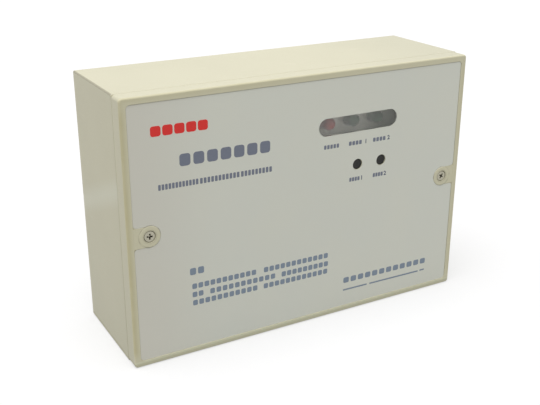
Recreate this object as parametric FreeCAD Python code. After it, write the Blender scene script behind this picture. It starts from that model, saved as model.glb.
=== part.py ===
import FreeCAD, Part
import math
import os

# Single-phase surge protection box in millimetres: a moulded two-part case with a smoked
# indicator window, two push-to-test buttons and the protection circuit inside.
# +X is to the right seen from the front, the front faces -Y and +Z is up.
# The origin is the centre of the footprint, on the surface that the box stands on.

Vector = FreeCAD.Vector

# Case
case_width = 290.0
case_height = 200.0
case_depth = 95.0
cover_depth = 13.5        # front plane to the seam with the rear box
cover_step = 0.15         # the cover stands in from the rear box by this much all round
seam_gap = 0.12           # open joint between the cover's skirt and the rear box
overrun = 1.0             # how far a cutting shape runs past the face that it cuts
place_slack = 1e-4        # edges are picked by their place to within this

# Rear box
box_wall = 3.0
box_back = 3.0
box_corner = 1.3
box_inner_corner = 1.0
box_edge = 0.5
seam_edge = 0.3
tongue_thickness = 1.6    # lip of the rear box that enters the cover
tongue_gap = 0.3
tongue_root = 4.0

# Front cover
cover_wall = 3.0
cover_plate = 2.8         # under the label
cover_corner = 2.5
cover_edge = 1.3
recess_depth = 0.8        # the label's field lies this far behind the rim
rim_side = 4.8
rim_end = 4.9
recess_corner = 3.0
rim_edge = 0.2
groove_rib = 1.5          # inner wall of the gasket's groove
groove_rib_height = 5.0
gasket_height = 3.0
gasket_gap = 0.1

# Front label
label_thickness = 0.4
label_gap = 0.15
label_tab_corner = 2.5    # rounding beside the screws' tabs

# Cover screws, M4 with pan heads, one near the middle of each side
screw_inset = 16.65
screw_rise = 0.7          # above the case's middle
screw_radius = 2.0
screw_length = 16.0
screw_head_radius = 4.1
screw_head_height = 2.6
screw_head_round = 1.0
cross_span = 5.4
cross_width = 1.3
cross_depth = 1.5
screw_hole_gap = 0.25
ring_radius = 8.0         # rounded ring round the screw's head
ring_round = 0.6
tab_height = 15.2         # bare plastic from the ring out to the side rim
tab_set_back = 0.2        # behind the front plane
tab_edge = 0.1
counterbore_radius = 4.3
counterbore_depth = 3.6
counterbore_edge = 0.5
seal_thickness = 0.6
boss_wall = 3.2
insert_radius = 3.0
insert_length = 8.5
insert_bore_gap = 0.05
insert_fit = 0.05
insert_well = 5.0         # free depth of the pillar's hole behind the insert
pillar_rib = 3.0

# Wall fixing holes in the back
wall_hole_radius = 2.75
wall_hole_span_x = 250.0
wall_hole_span_z = 160.0

# Cable entry in the bottom: one long opening with a moulded rubber grommet of three bores
entry_y = 6.0
entry_length = 150.0
entry_width = 20.0
entry_pad = 7.0           # thicker wall round the opening, this wide and high
entry_pad_height = 3.0
entry_recess = 2.5
flange_reach = 3.5        # of the grommet past the opening's edge
flange_thickness = 2.2
bore_count = 3
bore_pitch = 50.0
bore_radius = 5.0
grommet_gap = 0.2

# Indicator window, a smoked pane pushed in from behind
window_length = 70.8
window_height = 13.4
window_from_right = 101.5     # case's right side to the pane's middle
window_from_top = 41.9
window_gap = 0.15
window_set_back = 0.2     # behind the label's face
window_flange = 3.0
window_flange_thickness = 1.5

# Columns of lamps and buttons, the middle one nearly on the pane's middle
column_pitch = 22.1
column_shift = 0.3
lamp_count = 3
button_drop = 33.2        # lamps to buttons

# Indicator board, carried by four bosses behind the cover
board_thickness = 1.6
lamp_board_width = 101.0
lamp_board_drop = 51.6        # below the lamps
lamp_board_rise = 18.4        # above the lamps
lamp_board_inset = 4.5
lamp_board_set_back = 20.5    # front plane to the board's front face
lamp_boss_radius = 3.3

# Indicator lamps
led_radius = 5.0
led_body = 6.0
led_flange_radius = 5.6
led_flange = 1.0
led_tip_gap = 0.5         # to the back of the window
led_pin_radius = 0.3
led_pin_pitch = 2.54
spacer_radius = 5.0
spacer_bore = 2.6

# Test buttons and their switches
button_radius = 4.0
button_gap = 0.25
button_set_back = 0.5     # behind the label's face
button_round = 0.6
button_collar = 1.2
button_collar_thickness = 1.5
button_collar_gap = 0.3
button_stem_radius = 2.0
button_travel = 1.5
stem_entry = 1.5          # the stem's reach into the switch at rest
stem_spare = 0.5          # free depth of the switch's well with the button pressed
sleeve_length = 5.0
sleeve_wall = 2.0
switch_side = 12.0
switch_height = 4.5
switch_corner = 1.0
switch_pin_span = 9.0

# Main board, carried by four standoffs of the rear box
main_board_side_margin = 35.0
main_board_bottom = 50.0
main_board_top_margin = 20.0
main_board_inset = 8.0
standoff_height = 10.0
standoff_radius = 4.0

# Small self-tapping screws of both boards
tapper_radius = 1.45
tapper_length = 8.0
tapper_head_radius = 2.8
tapper_head_height = 2.0
tapper_head_round = 0.8
tapper_cross_span = 3.0
tapper_cross_width = 0.6
tapper_cross_depth = 1.0
tapper_hole_gap = 0.05
board_hole_gap = 0.2
pilot_spare = 1.0

# Pins of the parts on the boards
pin_radius = 0.5
pin_gap = 0.15
pin_tail = 1.5

# Mains terminal block and its clamps
way_count = 3
way_pitch = 16.0
terminal_wall = 2.0
terminal_height = 24.0
terminal_depth = 27.0
clamp_width = 10.0
clamp_height = 10.0
clamp_length = 12.0
clamp_wall = 1.5
clamp_gap = 0.2
clamp_set_back = 5.0      # wire mouth to the clamp
clamp_screw_radius = 2.0
clamp_screw_head_radius = 3.4
clamp_screw_head_height = 2.4
clamp_screw_slot = 0.9
clamp_screw_slot_depth = 1.2
clamp_bite = 3.0          # the screw's reach into the wire's space
screwdriver_gap = 0.4

# Varistors and their thermal cut-outs
varistor_count = 3
varistor_thickness = 9.0
varistor_width = 36.0
varistor_height = 36.0
varistor_lift = 2.0
varistor_corner = 4.0
varistor_gap = 11.0
varistor_margin = 20.5    # board's left edge to the first one's middle
varistor_pin_span = 20.0
power_pin_radius = 0.9
power_row_z = 80.0        # middle of the power parts above the board's bottom edge
cutout_radius = 2.0
cutout_length = 11.0

# Parts that lie along the board on two bent leads
lead_reach = 4.0
lead_lift = 6.5
tube_radius = 4.0
tube_length = 10.0
tube_gap = 15.0           # last varistor to the tube

# Cartridge fuses in clips
fuse_count = 2
fuse_gap = 14.0           # tube to the first fuse's middle
fuse_pitch = 17.0
fuse_radius = 3.0
fuse_cap_wall = 0.3
fuse_length = 32.0
fuse_cap_length = 6.5
fuse_lift = 7.5
clip_wall = 0.7
clip_width = 5.0
clip_mouth = 4.2
clip_foot = 5.0

# Film capacitor and alarm relay, in one column near the board's right edge
column_margin = 48.0
capacitor_z = 100.0       # above the board's bottom edge
capacitor_width = 26.5
capacitor_thickness = 10.0
capacitor_height = 19.0
capacitor_corner = 0.8
capacitor_pin_span = 22.5
relay_z = 62.0
relay_width = 19.0
relay_thickness = 15.5
relay_height = 15.8
relay_pin_span_x = 12.0
relay_pin_span_z = 10.0
relay_corner = 0.6

# Alarm terminal block
alarm_margin = 43.0       # board's left edge to the block's middle
alarm_pitch = 5.08
alarm_ways = 3
alarm_height = 10.0
alarm_depth = 10.5
alarm_mouth = 3.2
alarm_mouth_depth = 6.0
alarm_screw_radius = 1.7
alarm_screw_length = 2.6
alarm_screw_set_back = 0.5
alarm_screw_slot = 0.5
alarm_screw_slot_depth = 0.5

# Lead between the boards
header_shift = 25.5       # window's middle to the headers
header_width = 18.0
header_thickness = 6.5
header_height = 8.0
header_wall = 1.0
header_floor = 2.0
header_pin_span = 10.16
plug_gap = 0.15
plug_height = 9.0
lamp_header_drop = 27.6   # lamps to the header
main_header_rise = 42.0   # main board's bottom edge to the header
ribbon_width = 15.0
ribbon_thickness = 1.0
ribbon_bend = 8.0

# Resistors of the lamps
resistor_radius = 1.2
resistor_length = 6.5
resistor_lift = 1.6
resistor_reach = 2.0
resistor_pin_radius = 0.3
resistor_drop = 14.6      # lamps to the resistors

# Planes and lines that follow from the sizes above
front_y = -case_depth / 2
back_y = case_depth / 2
middle_z = case_height / 2
seam_y = front_y + cover_depth
floor_y = front_y + recess_depth
label_y = floor_y - label_thickness
plate_y = floor_y + cover_plate
back_inner_y = back_y - box_back
skirt_inset = cover_step + cover_wall
tongue_inset = skirt_inset + tongue_gap
groove_inset = tongue_inset + tongue_thickness + tongue_gap
gasket_y = plate_y + gasket_height
window_x = case_width / 2 - window_from_right
window_z = case_height - window_from_top
lamp_z = window_z
button_z = lamp_z - button_drop
resistor_z = lamp_z - resistor_drop
screw_x = case_width / 2 - screw_inset
screw_z = middle_z + screw_rise
screw_seat_y = front_y + counterbore_depth - seal_thickness
boss_radius = insert_radius + boss_wall
lamp_board_left = window_x - lamp_board_width / 2
lamp_board_right = window_x + lamp_board_width / 2
lamp_board_bottom = lamp_z - lamp_board_drop
lamp_board_top = lamp_z + lamp_board_rise
lamp_board_y = front_y + lamp_board_set_back
lamp_back_y = lamp_board_y + board_thickness
window_back_y = plate_y + window_flange_thickness
main_back_y = back_inner_y - standoff_height
main_y = main_back_y - board_thickness
main_left = main_board_side_margin - case_width / 2
main_right = -main_left
main_top = case_height - main_board_top_margin
power_z = main_board_bottom + power_row_z
varistor_pitch = varistor_thickness + varistor_gap
first_varistor_x = main_left + varistor_margin
last_varistor_x = first_varistor_x + varistor_pitch * (varistor_count - 1)
tube_x = last_varistor_x + varistor_thickness / 2 + tube_gap + tube_radius
fuse_x = tube_x + tube_radius + fuse_gap
capacitor_x = main_right - column_margin
relay_x = capacitor_x
alarm_x = main_left + alarm_margin
header_x = window_x - header_shift
lamp_header_z = lamp_z - lamp_header_drop
main_header_z = main_board_bottom + main_header_rise
sleeve_y = plate_y + sleeve_length
collar_y = sleeve_y + button_collar_gap
switch_y = lamp_board_y - switch_height


def block(x0, x1, y0, y1, z0, z1):
    return Part.makeBox(x1 - x0, y1 - y0, z1 - z0, Vector(x0, y0, z0))


def rod_x(radius, y, z, x0, x1):
    return Part.makeCylinder(radius, x1 - x0, Vector(x0, y, z), Vector(1, 0, 0))


def rod_y(radius, x, z, y0, y1):
    return Part.makeCylinder(radius, y1 - y0, Vector(x, y0, z), Vector(0, 1, 0))


def rod_z(radius, x, y, z0, z1):
    return Part.makeCylinder(radius, z1 - z0, Vector(x, y, z0), Vector(0, 0, 1))


def edges_along(shape, direction):
    found = []
    for edge in shape.Edges:
        ends = edge.Vertexes
        if len(ends) == 2:
            run = ends[1].Point.sub(ends[0].Point)
            if abs(abs(run.dot(direction)) - run.Length) < place_slack:
                found.append(edge)
    return found


def edges_at_y(shape, y):
    found = []
    for edge in shape.Edges:
        span = edge.BoundBox
        if abs(span.YMin - y) < place_slack and abs(span.YMax - y) < place_slack:
            found.append(edge)
    return found


def block_rounded(x0, x1, y0, y1, z0, z1, corner):
    # corners rounded along Y only
    solid = block(x0, x1, y0, y1, z0, z1)
    return solid.makeFillet(corner, edges_along(solid, Vector(0, 1, 0)))


def case_block(inset, y0, y1, corner):
    # the case's outline moved inwards, as a slab from y0 to y1
    side = case_width / 2 - inset
    return block_rounded(-side, side, y0, y1, inset, case_height - inset, corner)


def joined(shapes):
    return shapes[0].fuse(shapes[1:]).removeSplitter()


def slot_y(length, height, x, z, y0, y1):
    # a bar with full-round ends, seen from the front
    end = height / 2
    reach = length / 2 - end
    return joined([
        block(x - reach, x + reach, y0, y1, z - end, z + end),
        rod_y(end, x - reach, z, y0, y1),
        rod_y(end, x + reach, z, y0, y1),
    ])


def slot_z(length, width, x, y, z0, z1):
    # the same, seen from above
    end = width / 2
    reach = length / 2 - end
    return joined([
        block(x - reach, x + reach, y - end, y + end, z0, z1),
        rod_z(end, x - reach, y, z0, z1),
        rod_z(end, x + reach, y, z0, z1),
    ])


def export(node, shapes):
    solids = []
    for shape in shapes:
        solids += shape.Solids
    result = solids[0] if len(solids) == 1 else Part.makeCompound(solids)
    result.exportStep("parts/" + node + ".step")
    print(node, len(solids), "solid(s)", round(sum(s.Volume for s in solids) / 1000, 2), "cm3")


def pan_screw(x, z, seat_y, way, sizes):
    # way is +1 where the shank runs towards +Y, and the head stands on the other side
    radius, length, head_radius, head_height, head_round, span, width, depth = sizes
    head = Part.makeCylinder(head_radius, head_height, Vector(x, seat_y, z), Vector(0, -way, 0))
    top_y = seat_y - way * head_height
    rim = [e for e in edges_at_y(head, top_y) if isinstance(e.Curve, Part.Circle)]
    head = head.makeFillet(head_round, rim)
    shank = Part.makeCylinder(radius, length, Vector(x, seat_y, z), Vector(0, way, 0))
    low_y = min(top_y, top_y + way * depth)
    high_y = max(top_y, top_y + way * depth)
    bar = block(x - span / 2, x + span / 2, low_y, high_y, z - width / 2, z + width / 2)
    post = block(x - width / 2, x + width / 2, low_y, high_y, z - span / 2, z + span / 2)
    return joined([head, shank]).cut([bar, post])


def pins(points, radius, y0, y1):
    return [rod_y(radius, x, z, y0, y1) for x, z in points]


def case_screw_places():
    return [(-screw_x, screw_z), (screw_x, screw_z)]


def label_field(inset, y0, y1):
    # the sunk field inside the cover's rim
    side = case_width / 2 - rim_side - inset
    low = rim_end + inset
    return block_rounded(-side, side, y0, y1, low, case_height - low, recess_corner - inset)


def screw_tab(x, z, y0, y1, inset):
    # bar from the screw's middle out into the side rim
    reach = math.copysign(case_width / 2 - rim_side / 2, x)
    half = tab_height / 2 + inset
    return block(min(x, reach), max(x, reach), y0, y1, z - half, z + half)


def columns():
    first = window_x + column_shift - column_pitch * (lamp_count - 1) / 2
    return [first + column_pitch * number for number in range(lamp_count)]


def lamp_places():
    return [(x, lamp_z) for x in columns()]


def button_places():
    # under every lamp but the first
    return [(x, button_z) for x in columns()[1:]]


def lamp_board_holes():
    left = lamp_board_left + lamp_board_inset
    right = lamp_board_right - lamp_board_inset
    low = lamp_board_bottom + lamp_board_inset
    high = lamp_board_top - lamp_board_inset
    return [(left, low), (right, low), (left, high), (right, high)]


def main_board_holes():
    left = main_left + main_board_inset
    right = main_right - main_board_inset
    low = main_board_bottom + main_board_inset
    high = main_top - main_board_inset
    return [(left, low), (right, low), (left, high), (right, high)]


def bore_places():
    first = -bore_pitch * (bore_count - 1) / 2
    return [first + bore_pitch * number for number in range(bore_count)]


def entry_slot(reach, z0, z1):
    # the cable opening's outline moved outwards
    return slot_z(entry_length + 2 * reach, entry_width + 2 * reach, 0, entry_y, z0, z1)


def wall_hole_places():
    places = []
    for x in (-wall_hole_span_x / 2, wall_hole_span_x / 2):
        for z in (middle_z - wall_hole_span_z / 2, middle_z + wall_hole_span_z / 2):
            places.append((x, z))
    return places


# Rear box
def make_rear_box():
    shell = case_block(0, seam_y, back_y, box_corner)
    shell = shell.makeFillet(box_edge, edges_at_y(shell, back_y))
    shell = shell.makeFillet(seam_edge, edges_at_y(shell, seam_y))
    hollow = case_block(box_wall, seam_y - overrun, back_inner_y, box_inner_corner)
    shell = shell.cut(hollow)
    tongue = case_block(tongue_inset, gasket_y, seam_y + tongue_root, box_inner_corner)
    root = case_block(box_wall, seam_y + seam_edge, seam_y + tongue_root, box_inner_corner)
    bore = case_block(tongue_inset + tongue_thickness, gasket_y - overrun,
                      seam_y + tongue_root + overrun, box_inner_corner)
    solids = [shell, tongue.fuse(root).cut(bore)]
    cuts = []
    for x, z in case_screw_places():
        wall_x = math.copysign(case_width / 2 - box_wall, x)
        solids.append(rod_y(boss_radius, x, z, seam_y, back_inner_y))
        solids.append(block(min(x, wall_x), max(x, wall_x), seam_y + tongue_root, back_inner_y,
                            z - pillar_rib / 2, z + pillar_rib / 2))
        cuts.append(rod_y(insert_radius + insert_fit, x, z, seam_y - overrun,
                          seam_y + insert_length + insert_well))
    for x, z in main_board_holes():
        solids.append(rod_y(standoff_radius, x, z, main_back_y, back_inner_y))
        cuts.append(rod_y(tapper_radius + tapper_hole_gap, x, z, main_back_y - overrun,
                          main_y + tapper_length + pilot_spare))
    for x, z in wall_hole_places():
        cuts.append(rod_y(wall_hole_radius, x, z, back_inner_y - overrun, back_y + overrun))
    pad_top = box_wall + entry_pad_height
    solids.append(entry_slot(entry_pad, box_wall / 2, pad_top))
    cuts.append(entry_slot(0, -overrun, pad_top + overrun))
    cuts.append(entry_slot(flange_reach + grommet_gap, -overrun, entry_recess))
    return joined(solids).cut(cuts)


def make_grommet():
    outer_low = entry_recess - flange_thickness
    neck_top = box_wall + entry_pad_height
    inner_top = neck_top + flange_thickness
    body = joined([
        entry_slot(flange_reach, outer_low, entry_recess),
        entry_slot(-grommet_gap, entry_recess, neck_top),
        entry_slot(flange_reach, neck_top, inner_top),
    ])
    return body.cut([rod_z(bore_radius, x, entry_y, outer_low - overrun, inner_top + overrun)
                     for x in bore_places()])


# Front cover
def inner_rim_edges(blank):
    # the front edges of the rim on the label's side
    found = []
    for edge in edges_at_y(blank, front_y):
        side = case_width / 2 - abs(edge.BoundBox.Center.x)
        end = middle_z - abs(edge.BoundBox.Center.z - middle_z)
        if side > rim_side - rim_edge and end > rim_end - rim_edge:
            found.append(edge)
    return found


def make_ring(x, z):
    # rounded ring with the screw head's counterbore
    ring = rod_y(ring_radius, x, z, front_y, front_y + counterbore_depth + overrun)
    ring = ring.makeFillet(ring_round, edges_at_y(ring, front_y))
    ring = ring.cut(rod_y(counterbore_radius, x, z, front_y - overrun, front_y + counterbore_depth))
    return ring.makeFillet(counterbore_edge, edges_at_y(ring, front_y))


def make_front_cover():
    blank = case_block(cover_step, front_y, seam_y - seam_gap, cover_corner)
    blank = blank.makeFillet(cover_edge, edges_at_y(blank, front_y))
    field = label_field(0, front_y - overrun, floor_y)
    blank = blank.cut(field)
    blank = blank.makeFillet(rim_edge, inner_rim_edges(blank))
    blank = blank.cut(case_block(skirt_inset, plate_y, seam_y, box_inner_corner))
    rib = case_block(groove_inset, plate_y - overrun, plate_y + groove_rib_height, box_inner_corner)
    rib_hollow = case_block(groove_inset + groove_rib, plate_y - overrun,
                            plate_y + groove_rib_height + overrun, box_inner_corner)
    solids = [blank, rib.cut(rib_hollow)]
    cuts = []
    for x, z in case_screw_places():
        tab = screw_tab(x, z, front_y + tab_set_back, plate_y - overrun, 0)
        tab = tab.makeFillet(tab_edge, edges_at_y(tab, front_y + tab_set_back))
        solids.append(tab.cut(rod_y(ring_radius - ring_round, x, z, front_y, plate_y)))
        solids.append(make_ring(x, z))
        solids.append(rod_y(boss_radius, x, z, plate_y - overrun, seam_y))
        cuts.append(rod_y(counterbore_radius, x, z, front_y - overrun, front_y + counterbore_depth))
        cuts.append(rod_y(screw_radius + screw_hole_gap, x, z, front_y, seam_y + overrun))
    for x, z in button_places():
        bore = button_radius + button_gap
        solids.append(rod_y(bore + sleeve_wall, x, z, plate_y - overrun, sleeve_y))
        cuts.append(rod_y(bore, x, z, front_y, sleeve_y + overrun))
    for x, z in lamp_board_holes():
        solids.append(rod_y(lamp_boss_radius, x, z, plate_y - overrun, lamp_board_y))
        cuts.append(rod_y(tapper_radius + tapper_hole_gap, x, z,
                          lamp_back_y - tapper_length - pilot_spare, lamp_board_y + overrun))
    cuts.append(slot_y(window_length + 2 * window_gap, window_height + 2 * window_gap,
                       window_x, window_z, front_y, plate_y + overrun))
    return joined(solids).cut(cuts)


def make_gasket():
    ring = case_block(skirt_inset + gasket_gap, plate_y, gasket_y, box_inner_corner)
    hollow = case_block(groove_inset - gasket_gap, plate_y - overrun, gasket_y + overrun,
                        box_inner_corner)
    return ring.cut(hollow)


def tab_corner_edges(film):
    # the film's corners where its sides meet the tabs
    side = case_width / 2 - rim_side - label_gap
    half = tab_height / 2 + label_gap
    found = []
    for edge in edges_along(film, Vector(0, 1, 0)):
        place = edge.BoundBox.Center
        off = abs(abs(place.x) - side) + abs(abs(place.z - screw_z) - half)
        if off < place_slack:
            found.append(edge)
    return found


def make_label():
    film = label_field(label_gap, label_y, floor_y)
    cuts = [slot_y(window_length + 2 * window_gap, window_height + 2 * window_gap,
                   window_x, window_z, label_y - overrun, floor_y + overrun)]
    for x, z in case_screw_places():
        cuts.append(rod_y(ring_radius + label_gap, x, z, label_y - overrun, floor_y + overrun))
        cuts.append(screw_tab(x, z, label_y - overrun, floor_y + overrun, label_gap))
    for x, z in button_places():
        cuts.append(rod_y(button_radius + button_gap + label_gap, x, z,
                          label_y - overrun, floor_y + overrun))
    film = film.cut(cuts)
    return film.makeFillet(label_tab_corner, tab_corner_edges(film))


def make_window():
    face_y = label_y + window_set_back
    pane = slot_y(window_length, window_height, window_x, window_z, face_y, plate_y)
    flange = slot_y(window_length + 2 * window_flange, window_height + 2 * window_flange,
                    window_x, window_z, plate_y, window_back_y)
    return joined([pane, flange])


# Cover screws with their seals and inserts
def make_cover_screw(x, z):
    sizes = (screw_radius, screw_length, screw_head_radius, screw_head_height, screw_head_round,
             cross_span, cross_width, cross_depth)
    return pan_screw(x, z, screw_seat_y, 1, sizes)


def make_screw_seal(x, z):
    ring = rod_y(screw_head_radius, x, z, screw_seat_y, screw_seat_y + seal_thickness)
    return ring.cut(rod_y(screw_radius + screw_hole_gap, x, z, screw_seat_y - overrun,
                          screw_seat_y + seal_thickness + overrun))


def make_screw_insert(x, z):
    sleeve = rod_y(insert_radius, x, z, seam_y, seam_y + insert_length)
    return sleeve.cut(rod_y(screw_radius + insert_bore_gap, x, z, seam_y - overrun,
                            seam_y + insert_length + overrun))


# Indicator board and what it carries
def led_pin_points(x, z):
    return [(x - led_pin_pitch / 2, z), (x + led_pin_pitch / 2, z)]


def switch_pin_points(x, z):
    half = switch_pin_span / 2
    return [(x - half, z - half), (x + half, z - half), (x - half, z + half), (x + half, z + half)]


def header_pin_points(z):
    return [(header_x - header_pin_span / 2, z), (header_x + header_pin_span / 2, z)]


def resistor_pin_points(x):
    half = resistor_length / 2 + resistor_reach
    return [(x - half, resistor_z), (x + half, resistor_z)]


def make_lamp_board():
    board = block(lamp_board_left, lamp_board_right, lamp_board_y, lamp_back_y,
                  lamp_board_bottom, lamp_board_top)
    y0 = lamp_board_y - overrun
    y1 = lamp_back_y + overrun
    holes = pins(lamp_board_holes(), tapper_radius + board_hole_gap, y0, y1)
    for x, z in lamp_places():
        holes += pins(led_pin_points(x, z), led_pin_radius + pin_gap, y0, y1)
        holes += pins(resistor_pin_points(x), resistor_pin_radius + pin_gap, y0, y1)
    for x, z in button_places():
        holes += pins(switch_pin_points(x, z), pin_radius + pin_gap, y0, y1)
    holes += pins(header_pin_points(lamp_header_z), pin_radius + pin_gap, y0, y1)
    return board.cut(holes)


def board_screw(x, z, seat_y, way):
    sizes = (tapper_radius, tapper_length, tapper_head_radius, tapper_head_height,
             tapper_head_round, tapper_cross_span, tapper_cross_width, tapper_cross_depth)
    return pan_screw(x, z, seat_y, way, sizes)


def led_base_y():
    # back of the lamp's flange, which rests on its spacer
    return window_back_y + led_tip_gap + led_radius + led_body


def make_led(x, z):
    dome_y = window_back_y + led_tip_gap + led_radius
    base_y = led_base_y()
    body = [
        Part.makeSphere(led_radius, Vector(x, dome_y, z)),
        rod_y(led_radius, x, z, dome_y, base_y),
        rod_y(led_flange_radius, x, z, base_y - led_flange, base_y),
    ]
    return joined(body + pins(led_pin_points(x, z), led_pin_radius, base_y, lamp_back_y + pin_tail))


def make_led_spacer(x, z):
    tube = rod_y(spacer_radius, x, z, led_base_y(), lamp_board_y)
    return tube.cut(rod_y(spacer_bore, x, z, led_base_y() - overrun, lamp_board_y + overrun))


def make_switch(x, z):
    half = switch_side / 2
    body = block_rounded(x - half, x + half, switch_y, lamp_board_y, z - half, z + half,
                         switch_corner)
    body = joined([body] + pins(switch_pin_points(x, z), pin_radius, lamp_board_y,
                                lamp_back_y + pin_tail))
    well_end = switch_y + stem_entry + button_travel + stem_spare
    return body.cut(rod_y(button_stem_radius + button_gap, x, z, switch_y - overrun, well_end))


def make_button(x, z):
    face_y = label_y + button_set_back
    cap = rod_y(button_radius, x, z, face_y, collar_y)
    cap = cap.makeFillet(button_round, edges_at_y(cap, face_y))
    collar_end = collar_y + button_collar_thickness
    collar = rod_y(button_radius + button_collar, x, z, collar_y, collar_end)
    stem = rod_y(button_stem_radius, x, z, collar_end, switch_y + stem_entry)
    return joined([cap, collar, stem])


def lead_part(x, z, face_y, way, radius, length, reach, lift, lead_radius, along_x):
    # a round body that lies along a board on two bent leads; way is the board's open side
    centre_y = face_y + way * lift
    tail_y = face_y - way * (board_thickness + pin_tail)
    low_y = min(centre_y, tail_y)
    high_y = max(centre_y, tail_y)
    half = length / 2 + reach
    if along_x:
        body = rod_x(radius, centre_y, z, x - length / 2, x + length / 2)
        lead = rod_x(lead_radius, centre_y, z, x - half, x + half)
        ends = [(x - half, z), (x + half, z)]
    else:
        body = rod_z(radius, x, centre_y, z - length / 2, z + length / 2)
        lead = rod_z(lead_radius, x, centre_y, z - half, z + half)
        ends = [(x, z - half), (x, z + half)]
    elbows = [Part.makeSphere(lead_radius, Vector(ex, centre_y, ez)) for ex, ez in ends]
    return joined([body, lead] + elbows + pins(ends, lead_radius, low_y, high_y))


def make_resistor(x):
    return lead_part(x, resistor_z, lamp_back_y, 1, resistor_radius, resistor_length,
                     resistor_reach, resistor_lift, resistor_pin_radius, True)


def make_header(face_y, z, way):
    # shrouded socket that stands on a board's face
    top_y = face_y + way * header_height
    floor_top = face_y + way * header_floor
    half_x = header_width / 2
    half_z = header_thickness / 2
    body = block(header_x - half_x, header_x + half_x, min(face_y, top_y), max(face_y, top_y),
                 z - half_z, z + half_z)
    well_end = top_y + way * overrun
    well = block(header_x - half_x + header_wall, header_x + half_x - header_wall,
                 min(floor_top, well_end), max(floor_top, well_end),
                 z - half_z + header_wall, z + half_z - header_wall)
    tail_y = face_y - way * (board_thickness + pin_tail)
    feet = pins(header_pin_points(z), pin_radius, min(face_y, tail_y), max(face_y, tail_y))
    return joined([body.cut(well)] + feet)


def plug_top(face_y, way):
    return face_y + way * (header_floor + plug_height)


def make_plug(face_y, z, way):
    half_x = header_width / 2 - header_wall - plug_gap
    half_z = header_thickness / 2 - header_wall - plug_gap
    low = face_y + way * header_floor
    high = plug_top(face_y, way)
    return block(header_x - half_x, header_x + half_x, min(low, high), max(low, high),
                 z - half_z, z + half_z)


def make_ribbon():
    # flat lead from plug to plug: straight runs with a quarter bend at each end of the drop
    half = ribbon_thickness / 2
    start_y = plug_top(lamp_back_y, 1)
    end_y = plug_top(main_y, -1)
    left = header_x - ribbon_width / 2
    right = header_x + ribbon_width / 2
    drop_y = (start_y + end_y) / 2
    upper_z = lamp_header_z - ribbon_bend
    lower_z = main_header_z + ribbon_bend
    bend_y0 = drop_y - ribbon_bend
    bend_y1 = drop_y + ribbon_bend

    def quarter(y, z, y0, y1, z0, z1):
        ring = rod_x(ribbon_bend + half, y, z, left, right)
        ring = ring.cut(rod_x(ribbon_bend - half, y, z, left - overrun, right + overrun))
        return ring.common(block(left, right, y0, y1, z0, z1))

    reach = ribbon_bend + ribbon_thickness
    return joined([
        block(left, right, start_y, bend_y0, lamp_header_z - half, lamp_header_z + half),
        quarter(bend_y0, upper_z, bend_y0, bend_y0 + reach, upper_z, upper_z + reach),
        block(left, right, drop_y - half, drop_y + half, lower_z, upper_z),
        quarter(bend_y1, lower_z, bend_y1 - reach, bend_y1, lower_z - reach, lower_z),
        block(left, right, bend_y1, end_y, main_header_z - half, main_header_z + half),
    ])


# Main board and what it carries
def varistor_x(number):
    return first_varistor_x + varistor_pitch * number


def varistor_pin_points(number):
    half = varistor_pin_span / 2
    return [(varistor_x(number), power_z - half), (varistor_x(number), power_z + half)]


def cutout_x(number):
    return (varistor_x(number) + varistor_x(number + 1)) / 2


def lead_ends(x, length, reach):
    half = length / 2 + reach
    return [(x, power_z - half), (x, power_z + half)]


def fuse_places():
    return [fuse_x + fuse_pitch * number for number in range(fuse_count)]


def clip_places():
    offset = (fuse_length - fuse_cap_length) / 2
    return [(x, power_z + way * offset) for x in fuse_places() for way in (-1, 1)]


def capacitor_pin_points():
    z = main_board_bottom + capacitor_z
    half = capacitor_pin_span / 2
    return [(capacitor_x - half, z), (capacitor_x + half, z)]


def relay_pin_points():
    z = main_board_bottom + relay_z
    half_x = relay_pin_span_x / 2
    half_z = relay_pin_span_z / 2
    return [(relay_x + i * half_x, z + j * half_z) for i in (-1, 1) for j in (-1, 1)]


def way_places():
    first = -way_pitch * (way_count - 1) / 2
    return [first + way_pitch * number for number in range(way_count)]


def alarm_places():
    first = alarm_x - alarm_pitch * (alarm_ways - 1) / 2
    return [first + alarm_pitch * number for number in range(alarm_ways)]


def make_main_board():
    board = block(main_left, main_right, main_y, main_back_y, main_board_bottom, main_top)
    y0 = main_y - overrun
    y1 = main_back_y + overrun
    holes = pins(main_board_holes(), tapper_radius + board_hole_gap, y0, y1)
    power_points = []
    for number in range(varistor_count):
        power_points += varistor_pin_points(number)
    power_points += [(x, main_board_bottom + terminal_height / 2) for x in way_places()]
    holes += pins(power_points, power_pin_radius + pin_gap, y0, y1)
    points = capacitor_pin_points() + relay_pin_points() + clip_places()
    points += lead_ends(tube_x, tube_length, lead_reach)
    for number in range(varistor_count - 1):
        points += lead_ends(cutout_x(number), cutout_length, lead_reach)
    points += [(x, main_board_bottom + alarm_height / 2) for x in alarm_places()]
    points += header_pin_points(main_header_z)
    holes += pins(points, pin_radius + pin_gap, y0, y1)
    return board.cut(holes)


def make_varistor(number):
    x = varistor_x(number)
    half = varistor_width / 2
    top_y = main_y - varistor_lift - varistor_height
    body = block(x - varistor_thickness / 2, x + varistor_thickness / 2, top_y,
                 main_y - varistor_lift, power_z - half, power_z + half)
    body = body.makeFillet(varistor_corner, edges_along(body, Vector(1, 0, 0)))
    legs = pins(varistor_pin_points(number), power_pin_radius, main_y - varistor_lift - overrun,
                main_back_y + pin_tail)
    return joined([body] + legs)


def make_cutout(number):
    return lead_part(cutout_x(number), power_z, main_y, -1, cutout_radius, cutout_length,
                     lead_reach, lead_lift, pin_radius, False)


def make_discharge_tube():
    return lead_part(tube_x, power_z, main_y, -1, tube_radius, tube_length, lead_reach,
                     lead_lift, pin_radius, False)


def fuse_axis_y():
    return main_y - fuse_lift


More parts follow.
